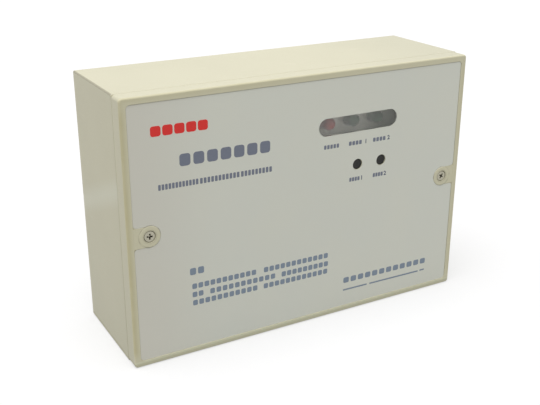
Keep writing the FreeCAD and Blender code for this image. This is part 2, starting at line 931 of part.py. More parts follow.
def make_fuse_tube(x):
    y = fuse_axis_y()
    half = fuse_length / 2
    return rod_z(fuse_radius, x, y, power_z - half + fuse_cap_wall, power_z + half - fuse_cap_wall)


def make_fuse_cap(x, way):
    y = fuse_axis_y()
    outer = power_z + way * fuse_length / 2
    inner = outer - way * fuse_cap_length
    cap = rod_z(fuse_radius + fuse_cap_wall, x, y, min(outer, inner), max(outer, inner))
    floor = outer - way * fuse_cap_wall
    mouth = inner - way * overrun
    return cap.cut(rod_z(fuse_radius, x, y, min(floor, mouth), max(floor, mouth)))


def make_fuse_clip(x, z):
    y = fuse_axis_y()
    inner = fuse_radius + fuse_cap_wall
    outer = inner + clip_wall
    low = z - clip_width / 2
    high = z + clip_width / 2
    foot = clip_foot / 2
    ring = joined([rod_z(outer, x, y, low, high), block(x - foot, x + foot, y, main_y, low, high)])
    mouth = block(x - clip_mouth / 2, x + clip_mouth / 2, y - outer - overrun, y, low - overrun,
                  high + overrun)
    ring = ring.cut([rod_z(inner, x, y, low - overrun, high + overrun), mouth])
    return joined([ring] + pins([(x, z)], pin_radius, main_y, main_back_y + pin_tail))


def box_part(x, z, width, thickness, height, corner, points):
    # a moulded block standing on the main board's face
    body = block(x - width / 2, x + width / 2, main_y - height, main_y,
                 z - thickness / 2, z + thickness / 2)
    body = body.makeFillet(corner, edges_along(body, Vector(0, 1, 0))
                           + edges_at_y(body, main_y - height))
    return joined([body] + pins(points, pin_radius, main_y, main_back_y + pin_tail))


def make_capacitor():
    return box_part(capacitor_x, main_board_bottom + capacitor_z, capacitor_width,
                    capacitor_thickness, capacitor_height, capacitor_corner,
                    capacitor_pin_points())


def make_relay():
    return box_part(relay_x, main_board_bottom + relay_z, relay_width, relay_thickness,
                    relay_height, relay_corner, relay_pin_points())


def clamp_centre_y():
    return main_y - terminal_depth / 2 + terminal_wall


def clamp_low_z():
    return main_board_bottom + clamp_set_back


def make_terminal_block():
    half = (way_pitch * way_count + terminal_wall) / 2
    front = main_y - terminal_depth
    top = main_board_bottom + terminal_height
    body = block(-half, half, front, main_y, main_board_bottom, top)
    side = clamp_width / 2 + clamp_gap
    deep = clamp_height / 2 + clamp_gap
    y = clamp_centre_y()
    screw_z = clamp_low_z() + clamp_length / 2
    cuts = []
    for x in way_places():
        cuts.append(block(x - side, x + side, y - deep, y + deep, main_board_bottom - overrun,
                          clamp_low_z() + clamp_length + clamp_gap))
        cuts.append(rod_y(clamp_screw_head_radius + screwdriver_gap, x, screw_z,
                          front - overrun, y))
    feet = pins([(x, main_board_bottom + terminal_height / 2) for x in way_places()],
                power_pin_radius, main_y, main_back_y + pin_tail)
    return joined([body.cut(cuts)] + feet)


def make_clamp(x):
    # square brass cage that the wire enters from below
    y = clamp_centre_y()
    deep = clamp_height / 2
    side = clamp_width / 2
    low = clamp_low_z()
    high = low + clamp_length
    cage = block(x - side, x + side, y - deep, y + deep, low, high)
    inside = block(x - side + clamp_wall, x + side - clamp_wall, y - deep + clamp_wall,
                   y + deep - clamp_wall, low - overrun, high + overrun)
    hole = rod_y(clamp_screw_radius + insert_bore_gap, x, (low + high) / 2, y - deep - overrun, y)
    return cage.cut([inside, hole])


def make_clamp_screw(x):
    cage_y = clamp_centre_y() - clamp_height / 2
    z = clamp_low_z() + clamp_length / 2
    head_y = cage_y - clamp_screw_head_height
    head = rod_y(clamp_screw_head_radius, x, z, head_y, cage_y)
    shank = rod_y(clamp_screw_radius, x, z, cage_y, cage_y + clamp_wall + clamp_bite)
    half = clamp_screw_slot / 2
    slot = block(x - clamp_screw_head_radius, x + clamp_screw_head_radius,
                 head_y, head_y + clamp_screw_slot_depth, z - half, z + half)
    return joined([head, shank]).cut(slot)


def make_alarm_block():
    half = alarm_pitch * alarm_ways / 2
    front = main_y - alarm_depth
    low = main_board_bottom
    body = block(alarm_x - half, alarm_x + half, front, main_y, low, low + alarm_height)
    mouth_y = main_y - alarm_depth / 2
    cuts = []
    for x in alarm_places():
        cuts.append(block(x - alarm_mouth / 2, x + alarm_mouth / 2, mouth_y,
                          mouth_y + alarm_mouth, low - overrun, low + alarm_mouth_depth))
        cuts.append(rod_y(alarm_screw_radius + screw_hole_gap, x, low + alarm_height / 2,
                          front - overrun, front + alarm_screw_length))
    feet = pins([(x, low + alarm_height / 2) for x in alarm_places()], pin_radius, main_y,
                main_back_y + pin_tail)
    return joined([body.cut(cuts)] + feet)


def make_alarm_screw(x):
    front = main_y - alarm_depth
    top_y = front + alarm_screw_set_back
    z = main_board_bottom + alarm_height / 2
    body = rod_y(alarm_screw_radius, x, z, top_y, front + alarm_screw_length)
    half = alarm_screw_slot / 2
    slot = block(x - alarm_screw_radius, x + alarm_screw_radius, front,
                 top_y + alarm_screw_slot_depth, z - half, z + half)
    return body.cut(slot)


# Every piece, one file to a node
export("rear_box", [make_rear_box()])
export("front_cover", [make_front_cover()])
export("cover_gasket", [make_gasket()])
export("front_label", [make_label()])
export("indicator_window", [make_window()])
export("cable_grommet", [make_grommet()])
export("cover_screws", [make_cover_screw(x, z) for x, z in case_screw_places()])
export("cover_screw_seals", [make_screw_seal(x, z) for x, z in case_screw_places()])
export("cover_screw_inserts", [make_screw_insert(x, z) for x, z in case_screw_places()])

export("indicator_board", [make_lamp_board()])
export("indicator_board_screws", [board_screw(x, z, lamp_back_y, -1) for x, z in lamp_board_holes()])
for led_name, led_place in zip(("fault_led", "normal_led_1", "normal_led_2"), lamp_places()):
    export(led_name, [make_led(*led_place)])
export("led_spacers", [make_led_spacer(x, z) for x, z in lamp_places()])
export("led_resistors", [make_resistor(x) for x, z in lamp_places()])
for index, place in enumerate(button_places(), start=1):
    export("test_switch_" + str(index), [make_switch(*place)])
    export("test_button_" + str(index), [make_button(*place)])
export("indicator_board_header", [make_header(lamp_back_y, lamp_header_z, 1)])

export("main_board", [make_main_board()])
export("main_board_screws", [board_screw(x, z, main_y, 1) for x, z in main_board_holes()])
export("main_board_header", [make_header(main_y, main_header_z, -1)])
export("ribbon_plugs", [make_plug(lamp_back_y, lamp_header_z, 1), make_plug(main_y, main_header_z, -1)])
export("ribbon_lead", [make_ribbon()])
export("mains_terminal_block", [make_terminal_block()])
export("terminal_clamps", [make_clamp(x) for x in way_places()])
export("terminal_screws", [make_clamp_screw(x) for x in way_places()])
export("alarm_terminal_block", [make_alarm_block()])
export("alarm_terminal_screws", [make_alarm_screw(x) for x in alarm_places()])
for index in range(varistor_count):
    export("varistor_" + str(index + 1), [make_varistor(index)])
for index in range(varistor_count - 1):
    export("thermal_cutout_" + str(index + 1), [make_cutout(index)])
export("gas_discharge_tube", [make_discharge_tube()])
export("fuse_clips", [make_fuse_clip(x, z) for x, z in clip_places()])
export("fuse_tubes", [make_fuse_tube(x) for x in fuse_places()])
export("fuse_caps", [make_fuse_cap(x, way) for x in fuse_places() for way in (-1, 1)])
export("film_capacitor", [make_capacitor()])
export("alarm_relay", [make_relay()])
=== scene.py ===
import math

import bmesh
import bpy
from mathutils import Matrix, Vector


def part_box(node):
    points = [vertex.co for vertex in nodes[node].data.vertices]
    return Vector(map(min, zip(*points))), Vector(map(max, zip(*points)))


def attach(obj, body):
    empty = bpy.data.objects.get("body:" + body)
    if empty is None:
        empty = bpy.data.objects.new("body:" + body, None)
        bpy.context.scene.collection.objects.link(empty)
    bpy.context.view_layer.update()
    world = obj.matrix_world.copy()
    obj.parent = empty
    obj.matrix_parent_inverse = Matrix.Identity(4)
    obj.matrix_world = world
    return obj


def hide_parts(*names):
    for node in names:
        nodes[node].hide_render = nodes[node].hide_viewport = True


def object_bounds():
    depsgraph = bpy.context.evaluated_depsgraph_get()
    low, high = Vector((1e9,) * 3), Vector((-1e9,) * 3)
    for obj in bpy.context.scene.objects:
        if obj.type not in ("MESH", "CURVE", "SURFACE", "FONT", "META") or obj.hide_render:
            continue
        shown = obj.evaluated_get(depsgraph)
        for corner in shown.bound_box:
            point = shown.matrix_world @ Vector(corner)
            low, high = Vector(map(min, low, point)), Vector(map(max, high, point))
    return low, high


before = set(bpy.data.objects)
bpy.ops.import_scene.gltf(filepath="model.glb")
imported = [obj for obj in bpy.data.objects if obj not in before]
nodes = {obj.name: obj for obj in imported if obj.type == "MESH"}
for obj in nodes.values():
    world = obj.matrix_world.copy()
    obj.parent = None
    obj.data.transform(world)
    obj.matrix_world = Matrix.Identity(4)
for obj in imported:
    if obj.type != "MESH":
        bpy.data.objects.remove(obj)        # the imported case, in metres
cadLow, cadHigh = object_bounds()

mm = 0.001
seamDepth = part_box("cover_screw_inserts")[0].y        # the inserts start at the seam
frontView = math.radians(90)        # turns a piece made facing up until it faces the front
smoothAngle = math.radians(32)      # edges flatter than this are shaded smooth
facing = 0.9             # how squarely a face must look along an axis to be picked
onPlane = 0.01 * mm      # how near a plane a point counts as on it
noiseSpan = (0.3, 0.7)   # nearly all that a noise texture gives lies between these
wholeSpan = (0.0, 1.0)   # all that it can give
white = (1.0, 1.0, 1.0, 1.0)
print("frame loaded:", len(nodes), "nodes")


def linearColour(hexText):
    channels = [int(hexText[i:i + 2], 16) / 255 for i in (1, 3, 5)]
    linear = [c / 12.92 if c <= 0.04045 else ((c + 0.055) / 1.055) ** 2.4 for c in channels]
    return (*linear, 1.0)


def perFeature(size):
    # texture scale that gives features of this many millimetres
    return 1 / (size * mm)


# Materials
def newMaterial(name):
    material = bpy.data.materials.new(name)
    material.use_nodes = True
    material.node_tree.nodes.clear()
    return material


def addNode(owner, kind, links=None, **settings):
    # adds to a material or the world; a node given as a link stands for its first output
    tree = owner.node_tree
    node = tree.nodes.new("ShaderNode" + kind)
    for name, value in settings.items():
        setattr(node, name, value)
    for key, value in (links or {}).items():
        if isinstance(value, bpy.types.Node):
            value = value.outputs[0]
        if isinstance(value, bpy.types.NodeSocket):
            tree.links.new(value, node.inputs[key])
        else:
            node.inputs[key].default_value = value
    return node


def finishMaterial(material, links):
    shader = addNode(material, "BsdfPrincipled", links)
    addNode(material, "OutputMaterial", {"Surface": shader})
    return material


def softPatches(material, place, size, tones, detail=2.0):
    # two close tones in soft patches of this many millimetres
    patches = addNode(material, "TexNoise",
                      {"Vector": place, "Scale": perFeature(size), "Detail": detail})
    first, second = [linearColour(tone) for tone in tones]
    return addNode(material, "Mix", {0: patches, 6: first, 7: second}, data_type="RGBA").outputs[2]


def slowWaves(material, place, size, depth):
    # a large moulded or glued face is never quite flat
    waves = addNode(material, "TexNoise",
                    {"Vector": place, "Scale": perFeature(size), "Detail": 0.0})
    return addNode(material, "Bump", {"Strength": 1.0, "Distance": depth * mm, "Height": waves})


def fineGrain(material, place, size, depth, roughness, detail=2.0, span=noiseSpan, under=None):
    # a grain of this many millimetres: how it scatters the light, and how it stands up
    grain = addNode(material, "TexNoise",
                    {"Vector": place, "Scale": perFeature(size), "Detail": detail})
    rough = addNode(material, "MapRange",
                    {"Value": grain, "From Min": span[0], "From Max": span[1],
                     "To Min": roughness[0], "To Max": roughness[1]})
    relief = {"Strength": 1.0, "Distance": depth * mm, "Height": grain}
    if under:
        relief["Normal"] = under
    return {"Roughness": rough, "Normal": addNode(material, "Bump", relief)}


def distanceFrom(material, value, middle):
    # how far a value lies from a middle, to either side
    offset = addNode(material, "Math", {0: value, 1: middle}, operation="SUBTRACT")
    return addNode(material, "Math", {0: offset}, operation="ABSOLUTE")


def softRamps(material, ramps):
    # product of soft ramps, each one a value, where it starts and ends, and its share at both
    total = None
    for value, start, end, first, last in ramps:
        ramp = addNode(material, "MapRange",
                       {"Value": value, "From Min": start, "From Max": end,
                        "To Min": first, "To Max": last}, interpolation_type="SMOOTHSTEP")
        total = addNode(material, "Math", {0: total, 1: ramp}, operation="MULTIPLY") if total else ramp
    return total


caseMoulding = {
    "walls": ("#CECBB4", "#D6D3BC"),         # darker and lighter tone of the walls
    "clouds": 55.0,          # mm, faint patches where the plastic has yellowed
    "front": "#DBD8BF",      # painted light: the cover's front, painted a little paler than the walls to lift the light on that face
    "frontEdge": (2.1, 0.63),        # mm behind the front, from the walls' tone to the front's
    "rim": "#CBC5A1",        # the cover's rim has yellowed more than the walls, and is painted darker at its rounded outer edge, as painted shade where it turns from the light
    "rimInner": (0.5, 5.4),  # mm in from the sides, from the darkest and most yellow to none
    "rimWidth": 5.0,         # mm
    "rimTop": 0.50,          # share of it along the top
    "rimFoot": 0.05,         # and along the bottom
    "rimTurn": 10.0,         # mm of the sides over which it changes to that
    "rimRight": 0.45,        # share of it left towards the right side
    "rimPatch": 14.0,        # mm, how unevenly it lies
    "rimLeast": 0.7,         # share of it in the paler patches
    "pale": "#E0E1C9",       # painted light: the rim's lower edge painted paler, where its slope faces up to the light
    "paleShare": 0.95,
    "paleTop": (4.3, 4.8),   # mm up from the cover's foot, where that ends
    "paintedSheen": "#E2E4D6",      # painted reflection: a soft pale band across the left side
    "paintedSheenShare": 0.45,
    "paintedSheenHeight": 118.2,    # mm up, at the middle of the side
    "paintedSheenSlope": 0.41,      # how far it falls for each mm further back
    "paintedSheenReach": 14.0,      # mm either side of its middle
    "paintedSheenSide": 1.0,        # mm in from the left side, where it ends
    "grain": 0.9,            # mm, sparked mould texture, drawn coarser than the real 0.2 mm so that it shows
    "grainDepth": 0.012,
    "sink": 70.0,            # mm, slow waves of a large moulded wall
    "sinkDepth": 0.25,
    "roughness": (0.42, 0.56),
    "ior": 1.53,
    "dirt": "#A79F7E",       # dirt settles in the seam; along the foot the same tone is painted shade
    "ringLineAndPaintedShade": "#7C7763",   # a darker line round the screws' rings, and painted shade round their heads and along the box's left edge
    "seamWidth": 0.7,        # mm either side of the joint
    "seamShare": 0.42,       # at the foot, none at the top
    "footHeight": 2.2,       # mm up to the middle of the line along the foot
    "footWidth": 2.0,
    "footShare": 0.40,
    "greyTone": "#97998E",      # greyer towards the foot
    "greyReach": 170.0,     # mm up from the foot
    "greyShare": 0.17,
    "greySide": 110.0,      # mm in from the right end, behind the rim
    "greySideShare": 0.15,
    "ringRadius": 8.1,       # mm, outside of the ring round each cover screw
    "ringWidth": 0.7,        # mm either side of the foot of the rings
    "ringShare": 0.40,
    "ringPatch": 6.0,        # mm, how that line is broken
    "ringSpan": (0.42, 0.6),
    "headReach": (4.3, 6.0), # mm from a screw's axis, painted shade round its head
    "headShare": 0.32,
    "edgeBand": (0.7, 1.5),  # mm below the top, painted shade: a dark line along the box's left edge that dulls its highlight
    "edgeShare": 0.58,
    "scuff": "#E6E2CF",
    "scuffShare": 0.14,
    "scuffSize": 2.2,        # mm, width of a scuff
    "scuffStretch": (0.12, 0.12, 1.0),       # draws them about eight times as long as high
    "scuffSpan": (0.66, 0.74),
}


def coverFront(axes, first=0.0, last=1.0):
    # ramp from the case's walls to the cover's front
    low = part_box("front_cover")[0]
    start, end = [low.y + depth * mm for depth in caseMoulding["frontEdge"]]
    return (axes.outputs[1], start, end, first, last)


def paintedLightFoot(material, axes):
    # share of the paler tone, painted light: along the bottom of the cover's front
    look = caseMoulding
    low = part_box("front_cover")[0]
    start, end = [low.z + height * mm for height in look["paleTop"]]
    return softRamps(material, [(axes.outputs[2], start, end, look["paleShare"], 0.0),
                                coverFront(axes)])


def paintedSheenBand(material, axes):
    # share of the pale tone, a painted reflection: a slanting band on the left side, behind the joint
    look = caseMoulding
    level = addNode(material, "Math",
                    {0: axes.outputs[1], 1: look["paintedSheenSlope"], 2: axes.outputs[2]},
                    operation="MULTIPLY_ADD")
    away = distanceFrom(material, level, cadLow.z + look["paintedSheenHeight"] * mm)
    share = softRamps(material, [(away, 0.0, look["paintedSheenReach"] * mm, look["paintedSheenShare"], 0.0)])
    for axis, limit, side in ((0, cadLow.x + look["paintedSheenSide"] * mm, "LESS_THAN"),
                              (1, seamDepth, "GREATER_THAN")):
        within = addNode(material, "Math", {0: axes.outputs[axis], 1: limit}, operation=side)
        share = addNode(material, "Math", {0: share, 1: within}, operation="MULTIPLY")
    return share


def yellowedAndShadedRim(material, place, axes):
    # share of the rim tone, yellowing with painted shade: on the cover's front, darkest near its outer edge,
    # in uneven patches
    look = caseMoulding
    low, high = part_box("front_cover")
    insets = []
    for axis, least, most in ((0, low.x, high.x), (2, low.z, high.z)):
        away = distanceFrom(material, axes.outputs[axis], (least + most) / 2)
        insets.append(addNode(material, "Math", {0: (most - least) / 2, 1: away},
                              operation="SUBTRACT"))
    inset = addNode(material, "Math", {0: insets[0], 1: insets[1]}, operation="MINIMUM")
    near, far = look["rimInner"]
    top = high.z - look["rimWidth"] * mm
    foot = low.z + look["rimWidth"] * mm
    turn = look["rimTurn"] * mm
    share = softRamps(material, [
        (inset, near * mm, far * mm, 1.0, 0.0),
        coverFront(axes),
        (axes.outputs[2], top, top - turn, look["rimTop"], 1.0),
        (axes.outputs[2], foot, foot + turn, look["rimFoot"], 1.0),
        (axes.outputs[0], high.x / 2, low.x / 2, look["rimRight"], 1.0)])
    noise = addNode(material, "TexNoise",
                    {"Vector": place, "Scale": perFeature(look["rimPatch"]), "Detail": 2.0})
    patches = addNode(material, "MapRange",
                      {"Value": noise, "From Min": noiseSpan[0], "From Max": noiseSpan[1],
                       "To Min": look["rimLeast"]})
    return addNode(material, "Math", {0: share, 1: patches}, operation="MULTIPLY")


def scuffMarks(material, place):
    # share of the scuffs: long thin marks, mostly level
    look = caseMoulding
    level = addNode(material, "Mapping", {"Vector": place, "Scale": look["scuffStretch"]})
    marks = addNode(material, "TexNoise",
                    {"Vector": level, "Scale": perFeature(look["scuffSize"]), "Detail": 2.0})
    start, end = look["scuffSpan"]
    return addNode(material, "MapRange", {"Value": marks, "From Min": start, "From Max": end,
                                          "To Max": look["scuffShare"]})


def fromScrews(material, axes):
    # distance on the front from the axis of the nearer cover screw
    low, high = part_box("cover_screws")
    across = (high.x - low.x) / 2 - (high.z - low.z) / 2
    away = distanceFrom(material, axes.outputs[0], (low.x + high.x) / 2)
    level = addNode(material, "Math", {0: away, 1: across}, operation="SUBTRACT")
    rise = addNode(material, "Math", {0: axes.outputs[2], 1: (low.z + high.z) / 2},
                   operation="SUBTRACT")
    flat = addNode(material, "CombineXYZ", {"X": level, "Y": rise})
    return addNode(material, "VectorMath", {0: flat}, operation="LENGTH").outputs["Value"]


def ringLineAndPaintedShade(material, place, axes):
    # share of the darker tone: painted shade round each screw's head, and a broken line round the foot of
    # its ring
    look = caseMoulding
    radius = fromScrews(material, axes)
    away = distanceFrom(material, radius, look["ringRadius"] * mm)
    line = softRamps(material, [(away, 0.0, look["ringWidth"] * mm, look["ringShare"], 0.0)])
    patches = addNode(material, "TexNoise",
                      {"Vector": place, "Scale": perFeature(look["ringPatch"]), "Detail": 1.0})
    start, end = look["ringSpan"]
    broken = addNode(material, "MapRange", {"Value": patches, "From Min": start, "From Max": end})
    outer = addNode(material, "Math", {0: line, 1: broken}, operation="MULTIPLY")
    near, far = look["headReach"]
    inner = softRamps(material, [(radius, near * mm, far * mm, look["headShare"], 0.0)])
    both = addNode(material, "Math", {0: outer, 1: inner}, operation="MAXIMUM")
    front = softRamps(material, [coverFront(axes)])
    return addNode(material, "Math", {0: both, 1: front}, operation="MULTIPLY")


def seamDirtAndFootShade(material, axes):
    # share of the darker tone: dirt along the joint, more so low down, and painted shade along the foot
    look = caseMoulding
    low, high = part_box("front_cover")
    lines = []
    for where, axis, middle in (("seam", 1, seamDepth),
                                ("foot", 2, cadLow.z + look["footHeight"] * mm)):
        away = distanceFrom(material, axes.outputs[axis], middle)
        lines.append(softRamps(material, [
            (away, 0.0, look[where + "Width"] * mm, look[where + "Share"], 0.0)]))
    fade = addNode(material, "MapRange", {"Value": axes.outputs[2], "From Min": low.z,
                                          "From Max": high.z, "To Min": 1.0, "To Max": 0.0})
    seam = addNode(material, "Math", {0: lines[0], 1: fade}, operation="MULTIPLY")
    return addNode(material, "Math", {0: seam, 1: lines[1]}, operation="MAXIMUM")


def paintedEdgeShade(material, axes):
    # painted shade: behind the joint, a dark line along the sharp edge of top and left side
    look = caseMoulding
    near, far = [reach * mm for reach in look["edgeBand"]]
    return softRamps(material, [
        (axes.outputs[2], cadHigh.z - far, cadHigh.z - near, 0.0, 1.0),
        (axes.outputs[0], cadLow.x + far, cadLow.x + near, 0.0, 1.0),
        (axes.outputs[1], seamDepth, seamDepth + far, 0.0, look["edgeShare"])])


def greyTowardsFootAndRight(material, axes):
    # share of the grey tone: most at the foot, some towards the right end
    look = caseMoulding
    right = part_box("front_cover")[1].x
    foot = softRamps(material, [
        (axes.outputs[2], 0.0, look["greyReach"] * mm, look["greyShare"], 0.0)])
    side = softRamps(material, [
        (axes.outputs[0], right - look["greySide"] * mm, right, 0.0, look["greySideShare"]),
        coverFront(axes, 1.0, 0.0)])
    return addNode(material, "Math", {0: foot, 1: side}, operation="MAXIMUM")


def mouldedAbs():
    # moulded ABS: a soft sheen over a fine even grain, darker where dirt has settled, with painted light and
    # shade on the front, rim, foot, left side, edge and round the screws
    look = caseMoulding
    material = newMaterial("moulded ABS, ivory")
    place = addNode(material, "TexCoord").outputs["Object"]
    axes = addNode(material, "SeparateXYZ", {"Vector": place})
    colour = softPatches(material, place, look["clouds"], look["walls"], 3.0)
    for share, tone in ((greyTowardsFootAndRight(material, axes), "greyTone"),
                        # painted reflection across the left side
                        (paintedSheenBand(material, axes), "paintedSheen"),
                        # painted light: the paler front
                        (softRamps(material, [coverFront(axes)]), "front"),
                        # painted light along the bottom of the cover's front
                        (paintedLightFoot(material, axes), "pale"),
                        # yellowed rim, with painted shade at its outer edge
                        (yellowedAndShadedRim(material, place, axes), "rim"),
                        (scuffMarks(material, place), "scuff"),
                        # dirt in the seam, painted shade along the foot
                        (seamDirtAndFootShade(material, axes), "dirt"),
                        # painted shade round the screw heads, and a darker line round their rings
                        (ringLineAndPaintedShade(material, place, axes), "ringLineAndPaintedShade"),
                        # painted shade along the box's left edge
                        (paintedEdgeShade(material, axes), "ringLineAndPaintedShade")):
        colour = addNode(material, "Mix", {0: share, 6: colour, 7: linearColour(look[tone])},
                         data_type="RGBA").outputs[2]
    sink = slowWaves(material, place, look["sink"], look["sinkDepth"])
    grain = fineGrain(material, place, look["grain"], look["grainDepth"], look["roughness"],
                      under=sink)
    return finishMaterial(material, {"Base Color": colour, "IOR": look["ior"], **grain})


labelFilm = {
    "tones": ("#E0E4DF", "#E4E6DD"),         # cool and warm grey
    "clouds": 48.0,          # mm, the print's slow drift from cool to warm grey
    "left": "#DCD9D0",       # painted shade: a little warmer and darker towards the left end
    "leftShadeReach": 0.25,       # share of the width over which that fades
    "leftShadeShare": 0.6,
    "rimShadow": "#8E8870",   # painted shadow of the rim on the film, above and at the right
    "edgeWidth": 0.7,        # mm
    "topShare": 0.45,
    "rightShare": 0.42,
    "velvet": 0.7,           # mm, the film's embossing, drawn coarser than the real 0.1 mm
    "velvetDepth": 0.006,
    "ripple": 38.0,          # mm, where the adhesive lies a little uneven
    "rippleDepth": 0.05,
    "roughness": (0.40, 0.50),
    "ior": 1.58,
}


def printedFilm():
    # polycarbonate film, back-printed silver grey: velvet face, very even
    look = labelFilm
    material = newMaterial("polycarbonate film, silver grey")
    place = addNode(material, "TexCoord").outputs["Object"]
    axes = addNode(material, "SeparateXYZ", {"Vector": place})
    low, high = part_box("front_label")
    reach = (high.x - low.x) * look["leftShadeReach"]
    edge = look["edgeWidth"] * mm
    # painted shade towards the left end, and the rim's painted shadow along the top and right edges
    tones = [(softRamps(material, [(axes.outputs[axis], start, end, share, 0.0)]), look[tone])
             for axis, start, end, tone, share in (
                 (0, low.x, low.x + reach, "left", look["leftShadeShare"]),
                 (2, high.z, high.z - edge, "rimShadow", look["topShare"]),
                 (0, high.x, high.x - edge, "rimShadow", look["rightShare"]))]
    # the same painted shade and ring line, on the film
    tones.append((ringLineAndPaintedShade(material, place, axes), caseMoulding["ringLineAndPaintedShade"]))
    colour = softPatches(material, place, look["clouds"], look["tones"])
    for share, tone in tones:
        colour = addNode(material, "Mix", {0: share, 6: colour, 7: linearColour(tone)},
                         data_type="RGBA").outputs[2]
    ripple = slowWaves(material, place, look["ripple"], look["rippleDepth"])
    velvet = fineGrain(material, place, look["velvet"], look["velvetDepth"], look["roughness"],
                       detail=1.0, under=ripple)
    return finishMaterial(material, {"Base Color": colour, "IOR": look["ior"], **velvet})


smokedPane = {
    "light": "#FFFFFB",
    "dark": "#E2E5DE",
    "turn": (0.5, 0.85),     # shares of the width between which the pane darkens, painted shade of the space behind it
    "frost": 0.5,            # mm, etched grain of the pane, drawn coarser than the real 0.1 mm
    "frostDepth": 0.003,
    "roughness": (0.19, 0.25),
    "ior": 1.49,
    "clear": 0.93,           # share of the light that goes through
}


def frostedAcrylic():
    # acrylic, smoked and frosted: grey and milky, what lies behind shows as soft blots
    look = smokedPane
    material = newMaterial("frosted acrylic, smoke grey")
    place = addNode(material, "TexCoord").outputs["Object"]
    axes = addNode(material, "SeparateXYZ", {"Vector": place})
    low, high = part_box("indicator_window")
    start, end = [low.x + (high.x - low.x) * share for share in look["turn"]]
    # painted shade: the pane darker towards its right end, where the space behind it lies in shade
    along = softRamps(material, [(axes.outputs[0], start, end, 0.0, 1.0)])
    tint = addNode(material, "Mix",
                   {0: along, 6: linearColour(look["light"]), 7: linearColour(look["dark"])},
                   data_type="RGBA").outputs[2]
    frost = fineGrain(material, place, look["frost"], look["frostDepth"], look["roughness"])
    return finishMaterial(material, {"Base Color": tint, "IOR": look["ior"],
                                     "Transmission Weight": look["clear"], **frost})


# Plain plastics, rubbers and coatings: two close tones in soft patches over a fine grain.
# Each line: darker tone, lighter tone, patch mm, grain mm, grain depth mm, roughness, IOR, clear share.
plainStuffs = {
    "EPDM rubber, black": ("#1B1B1A", "#262625", 9.0, 0.5, 0.03, 0.72, 1.50, 0.0),
    "silicone rubber, grey": ("#6E6F6B", "#7B7C78", 8.0, 0.4, 0.02, 0.60, 1.41, 0.0),
    "ABS, black": ("#12120E", "#191914", 5.0, 0.4, 0.010, 0.46, 1.42, 0.0),
    "PBT, black": ("#1F1F1F", "#2A2A29", 7.0, 0.5, 0.012, 0.48, 1.55, 0.0),
    "PBT, white": ("#E4E2D8", "#EFEDE4", 7.0, 0.5, 0.012, 0.46, 1.55, 0.0),
    "polyamide, light grey": ("#B9BAB5", "#C6C7C2", 12.0, 0.6, 0.015, 0.50, 1.53, 0.0),
    "polyamide, green": ("#2F7A45", "#3A8A52", 8.0, 0.5, 0.012, 0.45, 1.53, 0.0),
    "epoxy coat, blue": ("#23487F", "#2D5795", 6.0, 1.1, 0.06, 0.30, 1.55, 0.0),
    "polyester case, grey": ("#8A8C8C", "#999B9A", 9.0, 0.6, 0.012, 0.40, 1.56, 0.0),
    "polyester case, dark": ("#22262B", "#2C3036", 8.0, 0.6, 0.010, 0.38, 1.56, 0.0),
    "glazed ceramic, white": ("#E9E7E0", "#F3F1EA", 7.0, 0.8, 0.008, 0.22, 1.54, 0.0),
    "cast epoxy, red": ("#88060A", "#980E14", 3.0, 0.5, 0.006, 0.50, 1.36, 0.04),
    "cast epoxy, green": ("#033A20", "#0A4A2C", 3.0, 0.5, 0.006, 0.50, 1.36, 0.04),
}
plainSpread = (0.88, 1.12)          # shares of the roughness between which it wanders


def plainStuff(name):
    dark, light, patch, grainSize, grainDepth, roughness, ior, clear = plainStuffs[name]
    material = newMaterial(name)
    place = addNode(material, "TexCoord").outputs["Object"]
    colour = softPatches(material, place, patch, (dark, light))
    grain = fineGrain(material, place, grainSize, grainDepth,
                      [roughness * share for share in plainSpread])
    return finishMaterial(material, {"Base Color": colour, "IOR": ior,
                                     "Transmission Weight": clear, **grain})


# Metals: two tones in patches, fine scratches. Each line: dark, light, patch mm, scratch mm, roughness.
metals = {
    "steel, zinc plated": ("#9A9787", "#BAB6A4", 1.6, 0.25, 0.30),
    "brass, turned": ("#B08D4A", "#CDAA62", 2.5, 0.3, 0.28),
    "brass, nickel plated": ("#B4B2A8", "#CCCAC0", 3.0, 0.3, 0.22),
}
scratches = {
    "stretch": (0.1, 1.0, 1.0),     # ten times as long as wide
    "depth": 0.004,          # mm
    "spread": (0.8, 1.3),    # shares of the roughness between which it wanders
}


def plainMetal(name, dirtShare=None):
    dark, light, patch, scratch, roughness = metals[name]
    material = newMaterial(name)
    place = addNode(material, "TexCoord").outputs["Object"]
    links = {"Base Color": softPatches(material, place, patch, (dark, light), 3.0), "Metallic": 1.0}
    stretch = addNode(material, "Mapping", {"Vector": place, "Scale": scratches["stretch"]})
    links.update(fineGrain(material, stretch, scratch, scratches["depth"],
                           [roughness * share for share in scratches["spread"]]))
    if dirtShare:
        share = dirtShare(material, place)
        links["Base Color"] = addNode(material, "Mix",
                                      {0: share, 6: links["Base Color"],
                                       7: linearColour(screwDirt["tone"])},
                                      data_type="RGBA").outputs[2]
        links["Roughness"] = addNode(material, "Mix", {0: share, 2: links["Roughness"],
                                                       3: screwDirt["roughness"]})
        links["Metallic"] = addNode(material, "Math", {0: 1.0, 1: share}, operation="SUBTRACT")
    return finishMaterial(material, links)


screwDirt = {
    "tone": "#453F31",       # old dust and grease in the cross of each cover screw
    "roughness": 0.85,
    "reach": 2.9,            # mm out from the screw's middle
    "core": (0.4, 1.2),      # mm, painted highlight: the dirt cleared in the very middle of the left one so that bare metal shines
    "glintDirtLeft": 0.1,        # share of the dirt left there
    "depth": (0.1, 0.7),     # mm below the head's top, from clean to dirtiest
    "share": 0.95,
}


